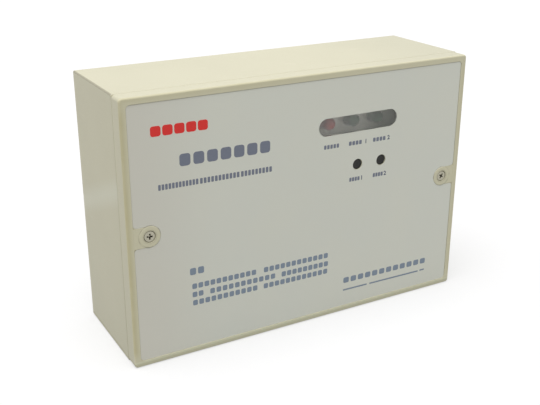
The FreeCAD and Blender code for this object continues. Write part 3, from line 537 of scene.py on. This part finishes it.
def recessDirt(material, place):
    # share of the dirt: deep in the head, near the middle of either screw
    look = screwDirt
    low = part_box("cover_screws")[0]
    axes = addNode(material, "SeparateXYZ", {"Vector": place})
    radius = fromScrews(material, axes)
    clean, dirtiest = [low.y + depth * mm for depth in look["depth"]]
    deep = softRamps(material, [(axes.outputs[1], clean, dirtiest, 0.0, look["share"])])
    inside = addNode(material, "Math", {0: radius, 1: look["reach"] * mm}, operation="LESS_THAN")
    share = addNode(material, "Math", {0: inside, 1: deep}, operation="MULTIPLY")
    # painted highlight: less dirt in the very middle of the left screw
    least, most = [reach * mm for reach in look["core"]]
    core = softRamps(material, [(radius, least, most, look["glintDirtLeft"], 1.0)])
    right = addNode(material, "Math", {0: axes.outputs[0], 1: 0.0}, operation="GREATER_THAN")
    core = addNode(material, "Math", {0: core, 1: right}, operation="MAXIMUM")
    return addNode(material, "Math", {0: share, 1: core}, operation="MULTIPLY")


boardLook = {
    "green": ("#1E5B3A", "#2C7A50"),        # solder mask, and where a track lies under it
    "white": ("#FAFAF5", "#EEEFE6"),        # painted light: white behind the lamps, standing in for light inside the case, so that they show
    "trackPitch": 5.0,       # mm between the tracks under the solder mask
    "trackWidth": 0.9,
    "trackRun": 20.0,        # mm between the short tracks that cross them
    "weave": 0.8,            # mm, glass cloth under the mask
    "weaveDepth": 0.01,
    "roughness": (0.22, 0.42),
    "ior": 1.55,
}


def glassBoard(colour):
    # glass-epoxy laminate under solder mask: glossy, the tracks show through
    look = boardLook
    mask, track = [linearColour(tone) for tone in look[colour]]
    material = newMaterial("glass-epoxy laminate, " + colour)
    place = addNode(material, "TexCoord").outputs["Object"]
    upright = addNode(material, "Mapping", {"Vector": place, "Rotation": (frontView, 0.0, 0.0)})
    tracks = addNode(material, "TexBrick",
                     {"Vector": upright, "Color1": mask, "Color2": mask, "Mortar": track,
                      "Scale": 1.0, "Mortar Size": look["trackWidth"] / 2 * mm,
                      "Brick Width": look["trackRun"] * mm, "Row Height": look["trackPitch"] * mm})
    weave = fineGrain(material, place, look["weave"], look["weaveDepth"], look["roughness"],
                      detail=1.0, span=wholeSpan)
    return finishMaterial(material, {"Base Color": tracks, "IOR": look["ior"], **weave})


resistorLook = {
    "body": "#C9B48C",
    "bands": ("#6B3A1E", "#1A1A1A", "#B3262B", "#B08D4A"),
    "bandWidth": 0.6,        # mm
    "bandPitch": 1.3,
    "pitch": 22.1,           # from one resistor to the next
    "lacquer": 1.2,          # mm, slow runs in the baked lacquer
    "lacquerDepth": 0.02,
    "roughness": (0.24, 0.42),
    "ior": 1.5,
}


def lacqueredResistor():
    # baked lacquer with four printed bands round each body
    look = resistorLook
    material = newMaterial("resistor lacquer, banded")
    place = addNode(material, "TexCoord").outputs["Object"]
    axes = addNode(material, "SeparateXYZ", {"Vector": place})
    low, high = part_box("led_resistors")
    pitch = look["pitch"] * mm
    start = addNode(material, "Math", {0: axes.outputs[0], 1: pitch / 2 - (low.x + high.x) / 2},
                    operation="ADD")
    turn = addNode(material, "Math", {0: start, 1: pitch}, operation="FLOORED_MODULO")
    share = addNode(material, "Math", {0: turn, 1: pitch}, operation="DIVIDE")
    ramp = addNode(material, "ValToRGB", {"Fac": share})
    ramp.color_ramp.interpolation = "CONSTANT"
    stops = ramp.color_ramp.elements
    stops[0].color = linearColour(look["body"])
    stops[1].position = 1.0
    stops[1].color = linearColour(look["body"])
    for number, band in enumerate(look["bands"]):
        offset = (number - (len(look["bands"]) - 1) / 2) * look["bandPitch"]
        left = 0.5 + (offset - look["bandWidth"] / 2) / look["pitch"]
        stops.new(left).color = linearColour(band)
        stops.new(left + look["bandWidth"] / look["pitch"]).color = linearColour(look["body"])
    lacquer = fineGrain(material, place, look["lacquer"], look["lacquerDepth"], look["roughness"],
                        span=wholeSpan)
    return finishMaterial(material, {"Base Color": ramp, "IOR": look["ior"], **lacquer})


ribbonLook = {
    "base": "#8C8F91",
    "first": "#B23A36",      # the first conductor's stripe
    "core": 1.27,            # mm between conductors
    "coreDepth": 0.35,
    "handling": 6.0,         # mm, where fingers have dulled it
    "roughness": (0.40, 0.60),
    "ior": 1.53,
}


def ribbonVinyl():
    # PVC ribbon: round cores side by side, the first one marked
    look = ribbonLook
    material = newMaterial("vinyl ribbon, grey")
    place = addNode(material, "TexCoord").outputs["Object"]
    axes = addNode(material, "SeparateXYZ", {"Vector": place})
    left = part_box("ribbon_lead")[0].x
    half = look["core"] / 2 * mm
    across = addNode(material, "Math", {0: axes.outputs[0], 1: -left}, operation="ADD")
    cores = addNode(material, "Math", {0: across, 1: half}, operation="PINGPONG")
    height = addNode(material, "Math", {0: cores, 1: 1 / half}, operation="MULTIPLY")
    bump = addNode(material, "Bump", {"Strength": 1.0, "Distance": look["coreDepth"] * mm,
                                      "Height": height})
    marked = addNode(material, "Math", {0: across, 1: look["core"] * mm}, operation="LESS_THAN")
    colour = addNode(material, "Mix",
                     {0: marked, 6: linearColour(look["base"]), 7: linearColour(look["first"])},
                     data_type="RGBA").outputs[2]
    handled = addNode(material, "TexNoise",
                      {"Vector": place, "Scale": perFeature(look["handling"]), "Detail": 2.0})
    least, most = look["roughness"]
    rough = addNode(material, "MapRange", {"Value": handled, "To Min": least, "To Max": most})
    return finishMaterial(material, {"Base Color": colour, "Roughness": rough,
                                     "IOR": look["ior"], "Normal": bump})


# Which nodes are made of which plain stuff or metal
nodeStuffs = {
    "EPDM rubber, black": ("cable_grommet", "cover_screw_seals"),
    "silicone rubber, grey": ("cover_gasket",),
    "cast epoxy, red": ("fault_led",),
    "cast epoxy, green": ("normal_led_1", "normal_led_2"),
    "PBT, white": ("led_spacers", "thermal_cutout_1", "thermal_cutout_2"),
    "PBT, black": ("test_switch_1", "test_switch_2", "indicator_board_header",
                   "main_board_header", "ribbon_plugs"),
    "polyamide, light grey": ("mains_terminal_block",),
    "polyamide, green": ("alarm_terminal_block",),
    "epoxy coat, blue": ("varistor_1", "varistor_2", "varistor_3"),
    "glazed ceramic, white": ("gas_discharge_tube", "fuse_tubes"),
    "polyester case, grey": ("film_capacitor",),
    "polyester case, dark": ("alarm_relay",),
    "steel, zinc plated": ("cover_screws", "indicator_board_screws", "main_board_screws",
                           "terminal_screws", "alarm_terminal_screws"),
    "brass, turned": ("cover_screw_inserts",),
    "brass, nickel plated": ("terminal_clamps", "fuse_clips", "fuse_caps"),
}


def coat(piece, material):
    for place in piece.material_slots:
        place.material = material
    if not piece.material_slots:
        piece.data.materials.append(material)


def coatNodes():
    stuffs = {name: plainStuff(name) for name in plainStuffs}
    stuffs.update({name: plainMetal(name) for name in metals})
    stuffs["steel, zinc plated, dirty recess"] = plainMetal("steel, zinc plated", recessDirt)
    for stuff, names in nodeStuffs.items():
        for name in names:
            coat(nodes[name], stuffs[stuff])
    moulded = mouldedAbs()
    for name, material in (("rear_box", moulded), ("front_cover", moulded),
                           ("front_label", printedFilm()), ("indicator_window", frostedAcrylic()),
                           ("main_board", glassBoard("green")),
                           ("indicator_board", glassBoard("white")),
                           ("led_resistors", lacqueredResistor()), ("ribbon_lead", ribbonVinyl())):
        coat(nodes[name], material)
    return stuffs


# Modelling by hand
def freeSelection():
    if bpy.context.object and bpy.context.object.mode != "OBJECT":
        bpy.ops.object.mode_set(mode="OBJECT")
    bpy.ops.object.select_all(action="DESELECT")


def choose(piece):
    freeSelection()
    piece.select_set(True)
    bpy.context.view_layer.objects.active = piece


def startEdit(piece):
    choose(piece)
    bpy.ops.object.mode_set(mode="EDIT")
    bpy.ops.mesh.select_all(action="DESELECT")


def pickFaces(piece, wanted):
    bpy.ops.mesh.select_mode(type="FACE")
    mesh = bmesh.from_edit_mesh(piece.data)
    for face in mesh.faces:
        face.select_set(wanted(face.calc_center_median(), face.normal))
    bmesh.update_edit_mesh(piece.data)


def pickEdges(piece, wanted):
    bpy.ops.mesh.select_mode(type="EDGE")
    mesh = bmesh.from_edit_mesh(piece.data)
    for edge in mesh.edges:
        edge.select_set(all(wanted(vert.co) for vert in edge.verts))
    bmesh.update_edit_mesh(piece.data)


def applyModifier(piece, kind, **settings):
    modifier = piece.modifiers.new(kind.lower(), kind)
    for name, value in settings.items():
        setattr(modifier, name, value)
    choose(piece)
    bpy.ops.object.modifier_apply(modifier=modifier.name)


def addCylinder(sides, radius, bottom, top):
    # cylinder between two heights, with its place kept in its mesh
    bpy.ops.mesh.primitive_cylinder_add(vertices=sides, radius=radius, depth=top - bottom,
                                        location=(0, 0, (top + bottom) / 2))
    bpy.ops.object.transform_apply(location=True, rotation=False, scale=False)
    return bpy.context.object


def settle(piece, name, place, turn=0.0):
    # stands the piece up to face the front, at its place, with the place kept in its mesh
    piece.name = name
    piece.data.name = name
    piece.rotation_euler = (frontView, 0.0, 0.0)
    piece.rotation_euler.rotate_axis("Z", turn)
    piece.location = place
    choose(piece)
    bpy.ops.object.transform_apply(location=True, rotation=True, scale=True)
    freeSelection()
    return piece


def copyPiece(piece):
    choose(piece)
    bpy.ops.object.duplicate()
    return bpy.context.object


def joinPieces(pieces):
    choose(pieces[0])
    for piece in pieces[1:]:
        piece.select_set(True)
    bpy.ops.object.join()
    return bpy.context.object


def stretchEnd(depth, ratio, at):
    # carries the chosen end face on by a depth and widens or narrows it
    bpy.ops.mesh.extrude_region_move(TRANSFORM_OT_translate={"value": (0, 0, -depth)})
    bpy.ops.transform.resize(value=(ratio, ratio, 1), center_override=(0, 0, at - depth))
    return at - depth


coverScrew = {
    "sides": 48,
    "crownRound": 0.5,       # mm, rounded rim of the pan head
    "crownSteps": 8,
    "headHeight": 2.6,
    "shankRadius": 2.0,
    "threadPitch": 0.7,
    "threadDepth": 0.4,
    "plainShank": 1.4,
    "recessSpan": 5.7,       # mm across the cross at its mouth
    "recessWidth": 1.4,
    "recessDepth": 1.3,
    "recessTaper": (0.55, 0.715),    # floor against mouth, along and across an arm
    "leftTurn": -4.0,        # degrees that each screw came to rest at
    "rightTurn": 56.0,
}


def makeRecessCutter(turn):
    spec = coverScrew
    top = spec["headHeight"] * mm
    depth = spec["recessDepth"] * mm
    bpy.ops.mesh.primitive_cube_add(size=1, location=(0, 0, top))
    cutter = bpy.context.object
    cutter.scale = (spec["recessSpan"] * mm, spec["recessWidth"] * mm, depth * 2)
    bpy.ops.object.transform_apply(location=True, rotation=False, scale=True)
    startEdit(cutter)
    pickFaces(cutter, lambda centre, normal: normal.z < -facing)
    bpy.ops.transform.resize(value=(*spec["recessTaper"], 1), center_override=(0, 0, top - depth))
    bpy.ops.object.mode_set(mode="OBJECT")
    cutter.rotation_euler.z = turn
    choose(cutter)
    bpy.ops.object.transform_apply(location=False, rotation=True, scale=False)
    return cutter


def makeCoverScrew():
    # pan-head machine screw, made head up with its seat at zero
    spec = coverScrew
    low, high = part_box("cover_screws")
    headRadius = (high.z - low.z) / 2
    headHeight = spec["headHeight"] * mm
    shankRadius = spec["shankRadius"] * mm
    plainShank = spec["plainShank"] * mm
    shankLength = high.y - low.y - headHeight
    screw = addCylinder(spec["sides"], headRadius, 0.0, headHeight)
    startEdit(screw)
    pickEdges(screw, lambda co: co.z > headHeight - onPlane)
    bpy.ops.mesh.bevel(offset=spec["crownRound"] * mm, segments=spec["crownSteps"],
                       affect="EDGES")
    pickFaces(screw, lambda centre, normal: normal.z < -facing and abs(centre.z) < onPlane)
    bpy.ops.mesh.inset(thickness=headRadius - shankRadius, depth=0)
    at = stretchEnd(plainShank, 1.0, 0.0)
    root = 1 - spec["threadDepth"] / spec["shankRadius"]
    half = spec["threadPitch"] / 2 * mm
    for turn in range(int((shankLength - plainShank) / (2 * half)) - 1):
        at = stretchEnd(half, root, at)
        at = stretchEnd(half, 1 / root, at)
    stretchEnd(shankLength + at, root, at)
    bpy.ops.object.mode_set(mode="OBJECT")
    for turn in (0.0, math.radians(90)):
        cutter = makeRecessCutter(turn)
        applyModifier(screw, "BOOLEAN", operation="DIFFERENCE", object=cutter, solver="EXACT")
        bpy.data.objects.remove(cutter)
    choose(screw)
    bpy.ops.object.shade_smooth_by_angle(angle=smoothAngle)
    return screw


def placeCoverScrews(stuffs):
    spec = coverScrew
    low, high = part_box("cover_screws")
    radius = (high.z - low.z) / 2
    seat = low.y + spec["headHeight"] * mm
    middle = (low.z + high.z) / 2
    left = makeCoverScrew()
    right = copyPiece(left)
    for piece, name, x, turn in ((left, "cover_screw_left", low.x + radius, spec["leftTurn"]),
                                 (right, "cover_screw_right", high.x - radius, spec["rightTurn"])):
        settle(piece, name, (x, seat, middle), math.radians(turn))
        coat(piece, stuffs["steel, zinc plated, dirty recess"])
        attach(piece, "case")
        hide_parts("cover_screws")


testButton = {
    "sides": 64,
    "capRadius": 4.0,        # mm
    "capLength": 8.0,
    "rimRound": 0.5,
    "rimSteps": 5,
    "dishSteps": 5,          # rings of the shallow finger dish
    "dishStep": 0.6,
    "dishDepth": 0.3,
    "collarLength": 1.5,
    "stemRadius": 2.0,
}


def makeTestButton():
    # push-button cap, made face up with its face at zero
    spec = testButton
    low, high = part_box("test_button_1")
    capRadius = spec["capRadius"] * mm
    capLength = spec["capLength"] * mm
    collarRadius = (high.x - low.x) / 2
    stemRadius = spec["stemRadius"] * mm
    button = addCylinder(spec["sides"], capRadius, -capLength, 0.0)
    startEdit(button)
    pickEdges(button, lambda co: co.z > -onPlane)
    bpy.ops.mesh.bevel(offset=spec["rimRound"] * mm, segments=spec["rimSteps"], affect="EDGES")
    pickFaces(button, lambda centre, normal: normal.z > facing and centre.z > -onPlane)
    steps = spec["dishSteps"]
    for step in range(steps):
        # each ring falls a little less than the one outside it
        fall = spec["dishDepth"] * (2 * (steps - step) - 1) / steps ** 2
        bpy.ops.mesh.inset(thickness=spec["dishStep"] * mm, depth=-fall * mm)
    pickFaces(button, lambda centre, normal: normal.z < -facing)
    at = stretchEnd(0.0, collarRadius / capRadius, -capLength)
    at = stretchEnd(spec["collarLength"] * mm, 1.0, at)
    at = stretchEnd(0.0, stemRadius / collarRadius, at)
    stretchEnd(high.y - low.y + at, 1.0, at)
    bpy.ops.object.mode_set(mode="OBJECT")
    bpy.ops.object.shade_smooth_by_angle(angle=smoothAngle)
    return button


def placeTestButtons(stuffs):
    first = makeTestButton()
    for piece, name in ((first, "test_button_1"), (copyPiece(first), "test_button_2")):
        low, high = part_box(name)
        settle(piece, name + "_cap", ((low.x + high.x) / 2, low.y, (low.z + high.z) / 2))
        coat(piece, stuffs["ABS, black"])
        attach(piece, name)
        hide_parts(name)


# Front print: plain blocks, bars and numbers where the panel is printed
frontPrint = {
    "inks": {                # the two tones between which each ink wanders
        "screen ink, slate": ("#737A8E", "#7E8596"),
        "screen ink, pale slate": ("#8090A6", "#8C9AAC"),
        "screen ink, dark slate": ("#3C4766", "#48536F"),
        "screen ink, red": ("#E42A29", "#EE3430"),
    },
    "mesh": 1.4,             # mm, patches where the screen let less ink through
    "meshDepth": 0.004,
    "roughness": (0.45, 0.6),
    "ior": 1.5,
    "depth": 0.05,           # mm, height of the ink over the film
    "corner": 0.25,          # share of a block's shorter side that its corners are rounded by
    "cornerSteps": 3,
    "lean": 0.6,             # degrees that the rows fall to the right, as printed
    "numberSize": 4.62,      # mm, for numbers 3.3 mm high
    "numberBold": 0.12,
}

# Rows of equal blocks in mm: x of the first block's left side from the case's left side,
# middle height of the first block, block width and height, pitch, how many.
printRows = {
    "print_red_row": [(20.8, 175.0, 7.5, 7.2, 8.65, 5)],
    "print_title": [(40.9, 152.1, 8.2, 8.8, 10.42, 7)],
    "print_subtitle": [(24.6, 135.0, 1.85, 4.1, 2.55, 12), (55.8, 134.6, 2.05, 4.1, 2.87, 11),
                       (87.9, 134.2, 2.05, 4.1, 2.88, 9)],
    "print_lamp_legends": [(157.7, 142.9, 2.1, 3.2, 2.8, 5), (180.1, 142.6, 2.4, 3.2, 3.1, 4),
                           (202.4, 142.4, 2.4, 3.2, 3.1, 4)],
    "print_button_legends": [(181.6, 113.3, 2.0, 3.2, 2.5, 4), (203.7, 113.3, 2.0, 3.2, 2.5, 4)],
    "print_notice_heading": [(45.7, 66.7, 4.8, 5.4, 6.3, 2)],
    "print_notice": [(47.1, 54.7, 3.8, 4.2, 4.87, 11), (106.3, 54.1, 3.8, 4.2, 4.87, 12),
                     (47.1, 48.0, 3.8, 4.2, 4.87, 2), (61.3, 47.6, 3.8, 4.2, 5.1, 11),
                     (121.8, 46.8, 3.8, 4.2, 4.8, 9),
                     (47.3, 41.3, 3.8, 4.2, 4.95, 11), (106.1, 40.5, 3.8, 4.2, 4.87, 12)],
    "print_foot_line": [(179.4, 27.4, 5.3, 4.8, 7.08, 12)],
    "print_foot_rule": [(179.3, 18.8, 23.4, 1.3, 0.0, 1), (205.4, 18.5, 50.2, 1.3, 0.0, 1),
                        (257.5, 18.2, 4.7, 1.3, 0.0, 1)],
}

# The numbers of the lamps and buttons in mm: text, centre x, middle height
printNumbers = {
    "print_lamp_numbers": [("1", 195.7, 142.3), ("2", 217.1, 142.2)],
    "print_button_numbers": [("1", 193.1, 113.1), ("2", 215.3, 113.1)],
}

# What isn't printed in slate
printInks = {
    "print_red_row": "screen ink, red",
    "print_notice": "screen ink, pale slate",
    "print_notice_heading": "screen ink, pale slate",
    "print_foot_line": "screen ink, pale slate",
    "print_foot_rule": "screen ink, pale slate",
    "print_lamp_numbers": "screen ink, dark slate",
    "print_button_numbers": "screen ink, dark slate",
}


def printInk(name):
    # screen ink: matt, a touch uneven where the mesh let less through
    spec = frontPrint
    material = newMaterial(name)
    place = addNode(material, "TexCoord").outputs["Object"]
    colour = softPatches(material, place, spec["mesh"], spec["inks"][name])
    mesh = fineGrain(material, place, spec["mesh"], spec["meshDepth"], spec["roughness"],
                     span=wholeSpan)
    return finishMaterial(material, {"Base Color": colour, "IOR": spec["ior"], **mesh})


def labelPoint(x, z):
    return (cadLow.x + x * mm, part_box("front_label")[0].y, cadLow.z + z * mm)


def makeBlock(width, height):
    spec = frontPrint
    bpy.ops.mesh.primitive_plane_add(size=1)
    block = bpy.context.object
    block.scale = (width * mm, height * mm, 1)
    bpy.ops.object.transform_apply(location=False, rotation=False, scale=True)
    startEdit(block)
    bpy.ops.mesh.select_all(action="SELECT")
    bpy.ops.mesh.bevel(offset=min(width, height) * spec["corner"] * mm,
                       segments=spec["cornerSteps"], affect="VERTICES")
    bpy.ops.object.mode_set(mode="OBJECT")
    applyModifier(block, "SOLIDIFY", thickness=spec["depth"] * mm, offset=1.0)
    return block


def makePrintRow(x, z, width, height, pitch, count):
    first = makeBlock(width, height)
    blocks = [first] + [copyPiece(first) for number in range(count - 1)]
    lean = math.radians(frontPrint["lean"])
    for number, block in enumerate(blocks):
        along = width / 2 + pitch * number
        settle(block, "block", labelPoint(x + along, z - along * math.tan(lean)), -lean)
    return blocks


def makeNumber(text, x, z):
    spec = frontPrint
    bpy.ops.object.text_add()
    letter = bpy.context.object.data
    letter.body = text
    letter.align_x = "CENTER"
    letter.align_y = "CENTER"
    letter.size = spec["numberSize"] * mm
    letter.offset = spec["numberBold"] * mm
    bpy.ops.object.convert(target="MESH")
    number = bpy.context.object
    applyModifier(number, "SOLIDIFY", thickness=spec["depth"] * mm, offset=1.0)
    return settle(number, "number", labelPoint(x, z))


def finishPrint(pieces, name, inks):
    piece = joinPieces(pieces) if len(pieces) > 1 else pieces[0]
    piece.name = name
    piece.data.name = name
    coat(piece, inks[printInks.get(name, "screen ink, slate")])
    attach(piece, "case")


def placePrint():
    inks = {name: printInk(name) for name in frontPrint["inks"]}
    for name, rows in printRows.items():
        finishPrint([block for row in rows for block in makePrintRow(*row)], name, inks)
    for name, numbers in printNumbers.items():
        finishPrint([makeNumber(*number) for number in numbers], name, inks)


studio = {
    "floorSize": 12.0,       # m
    "floorDrop": 0.1,        # mm under the case, so that the two share no plane
    "floorSeen": "#F6F7FC",  # what the camera sees
    "floorBounce": "#A8A8A4",        # what lights the case from below
    "floorGlow": 0.5,        # share of plain white in what the camera sees, so the shadow stays light
    "world": 0.56,           # strength of the soft light from all round
    "worldTint": "#FFFDF8",
    "skylight": 1.95,        # strength of the wide overhead light
    "skylightSpread": 50.0,  # degrees, for soft shadows
    "skylightFrom": (-0.11, -0.07, 0.60),        # a little from the left and the front
    "skylightTint": "#FFFEFA",
}

camera = {
    "azimuth": -29.257,      # degrees, as the photograph was taken
    "elevation": 21.396,
    "roll": 0.052,
    "lens": 56.921,          # mm
    "sensor": 36.0,
    "place": (-0.31943, -0.55757, 0.33720),
    "clip": (0.01, 50.0),    # m
}


def seenRays(owner):
    # 1 for rays that show the backdrop: to the camera, in metal and through glass
    path = addNode(owner, "LightPath")
    total = path.outputs["Is Camera Ray"]
    for name in ("Is Glossy Ray", "Is Transmission Ray"):
        total = addNode(owner, "Math", {0: total, 1: path.outputs[name]}, operation="MAXIMUM")
    return total


def makeFloor():
    level = cadLow.z - studio["floorDrop"] * mm
    bpy.ops.mesh.primitive_plane_add(size=studio["floorSize"], location=(0, 0, level))
    floor = bpy.context.object
    floor.name = "floor"
    material = newMaterial("studio floor, white")
    seen = seenRays(material)
    colour = addNode(material, "Mix", {0: seen, 6: linearColour(studio["floorBounce"]),
                                       7: linearColour(studio["floorSeen"])}, data_type="RGBA")
    matt = addNode(material, "BsdfDiffuse", {"Color": colour.outputs[2]})
    glow = addNode(material, "Emission", {"Color": white, "Strength": 1.0})
    share = addNode(material, "Math", {0: seen, 1: studio["floorGlow"]}, operation="MULTIPLY")
    shader = addNode(material, "MixShader", {0: share, 1: matt, 2: glow})
    addNode(material, "OutputMaterial", {"Surface": shader})
    floor.data.materials.append(material)


def makeLights():
    world = bpy.data.worlds.new("studio")
    bpy.context.scene.world = world
    world.use_nodes = True
    world.node_tree.nodes.clear()
    soft = addNode(world, "Background", {"Color": linearColour(studio["worldTint"]),
                                         "Strength": studio["world"]})
    bright = addNode(world, "Background", {"Color": white, "Strength": 1.0})
    both = addNode(world, "MixShader", {0: seenRays(world), 1: soft, 2: bright})
    addNode(world, "OutputWorld", {"Surface": both})
    data = bpy.data.lights.new("skylight", "SUN")
    data.energy = studio["skylight"]
    data.angle = math.radians(studio["skylightSpread"])
    data.color = linearColour(studio["skylightTint"])[:3]
    lamp = bpy.data.objects.new("skylight", data)
    bpy.context.scene.collection.objects.link(lamp)
    lamp.rotation_euler = Vector(studio["skylightFrom"]).to_track_quat("Z", "Y").to_euler()


def makeCamera():
    data = bpy.data.cameras.new("camera")
    data.lens = camera["lens"]
    data.sensor_width = camera["sensor"]
    data.clip_start, data.clip_end = camera["clip"]
    piece = bpy.data.objects.new("camera", data)
    bpy.context.scene.collection.objects.link(piece)
    azimuth, elevation, roll = [math.radians(camera[k]) for k in ("azimuth", "elevation", "roll")]
    back = Vector((math.sin(azimuth) * math.cos(elevation),
                   -math.cos(azimuth) * math.cos(elevation), math.sin(elevation)))
    right = Vector((0, 0, 1)).cross(back).normalized()
    up = back.cross(right)
    rolledRight = right * math.cos(roll) + up * math.sin(roll)
    rolledUp = up * math.cos(roll) - right * math.sin(roll)
    turn = Matrix((rolledRight, rolledUp, back)).transposed()
    piece.matrix_world = Matrix.Translation(camera["place"]) @ turn.to_4x4()
    bpy.context.scene.camera = piece
    bpy.context.scene.view_settings.view_transform = "Standard"


makeCamera()
makeLights()
makeFloor()
print("stage ready")
stuffs = coatNodes()
print("nodes coated")
placeCoverScrews(stuffs)
print("cover screws placed")
placeTestButtons(stuffs)
print("test buttons placed")
placePrint()
print("front printed")
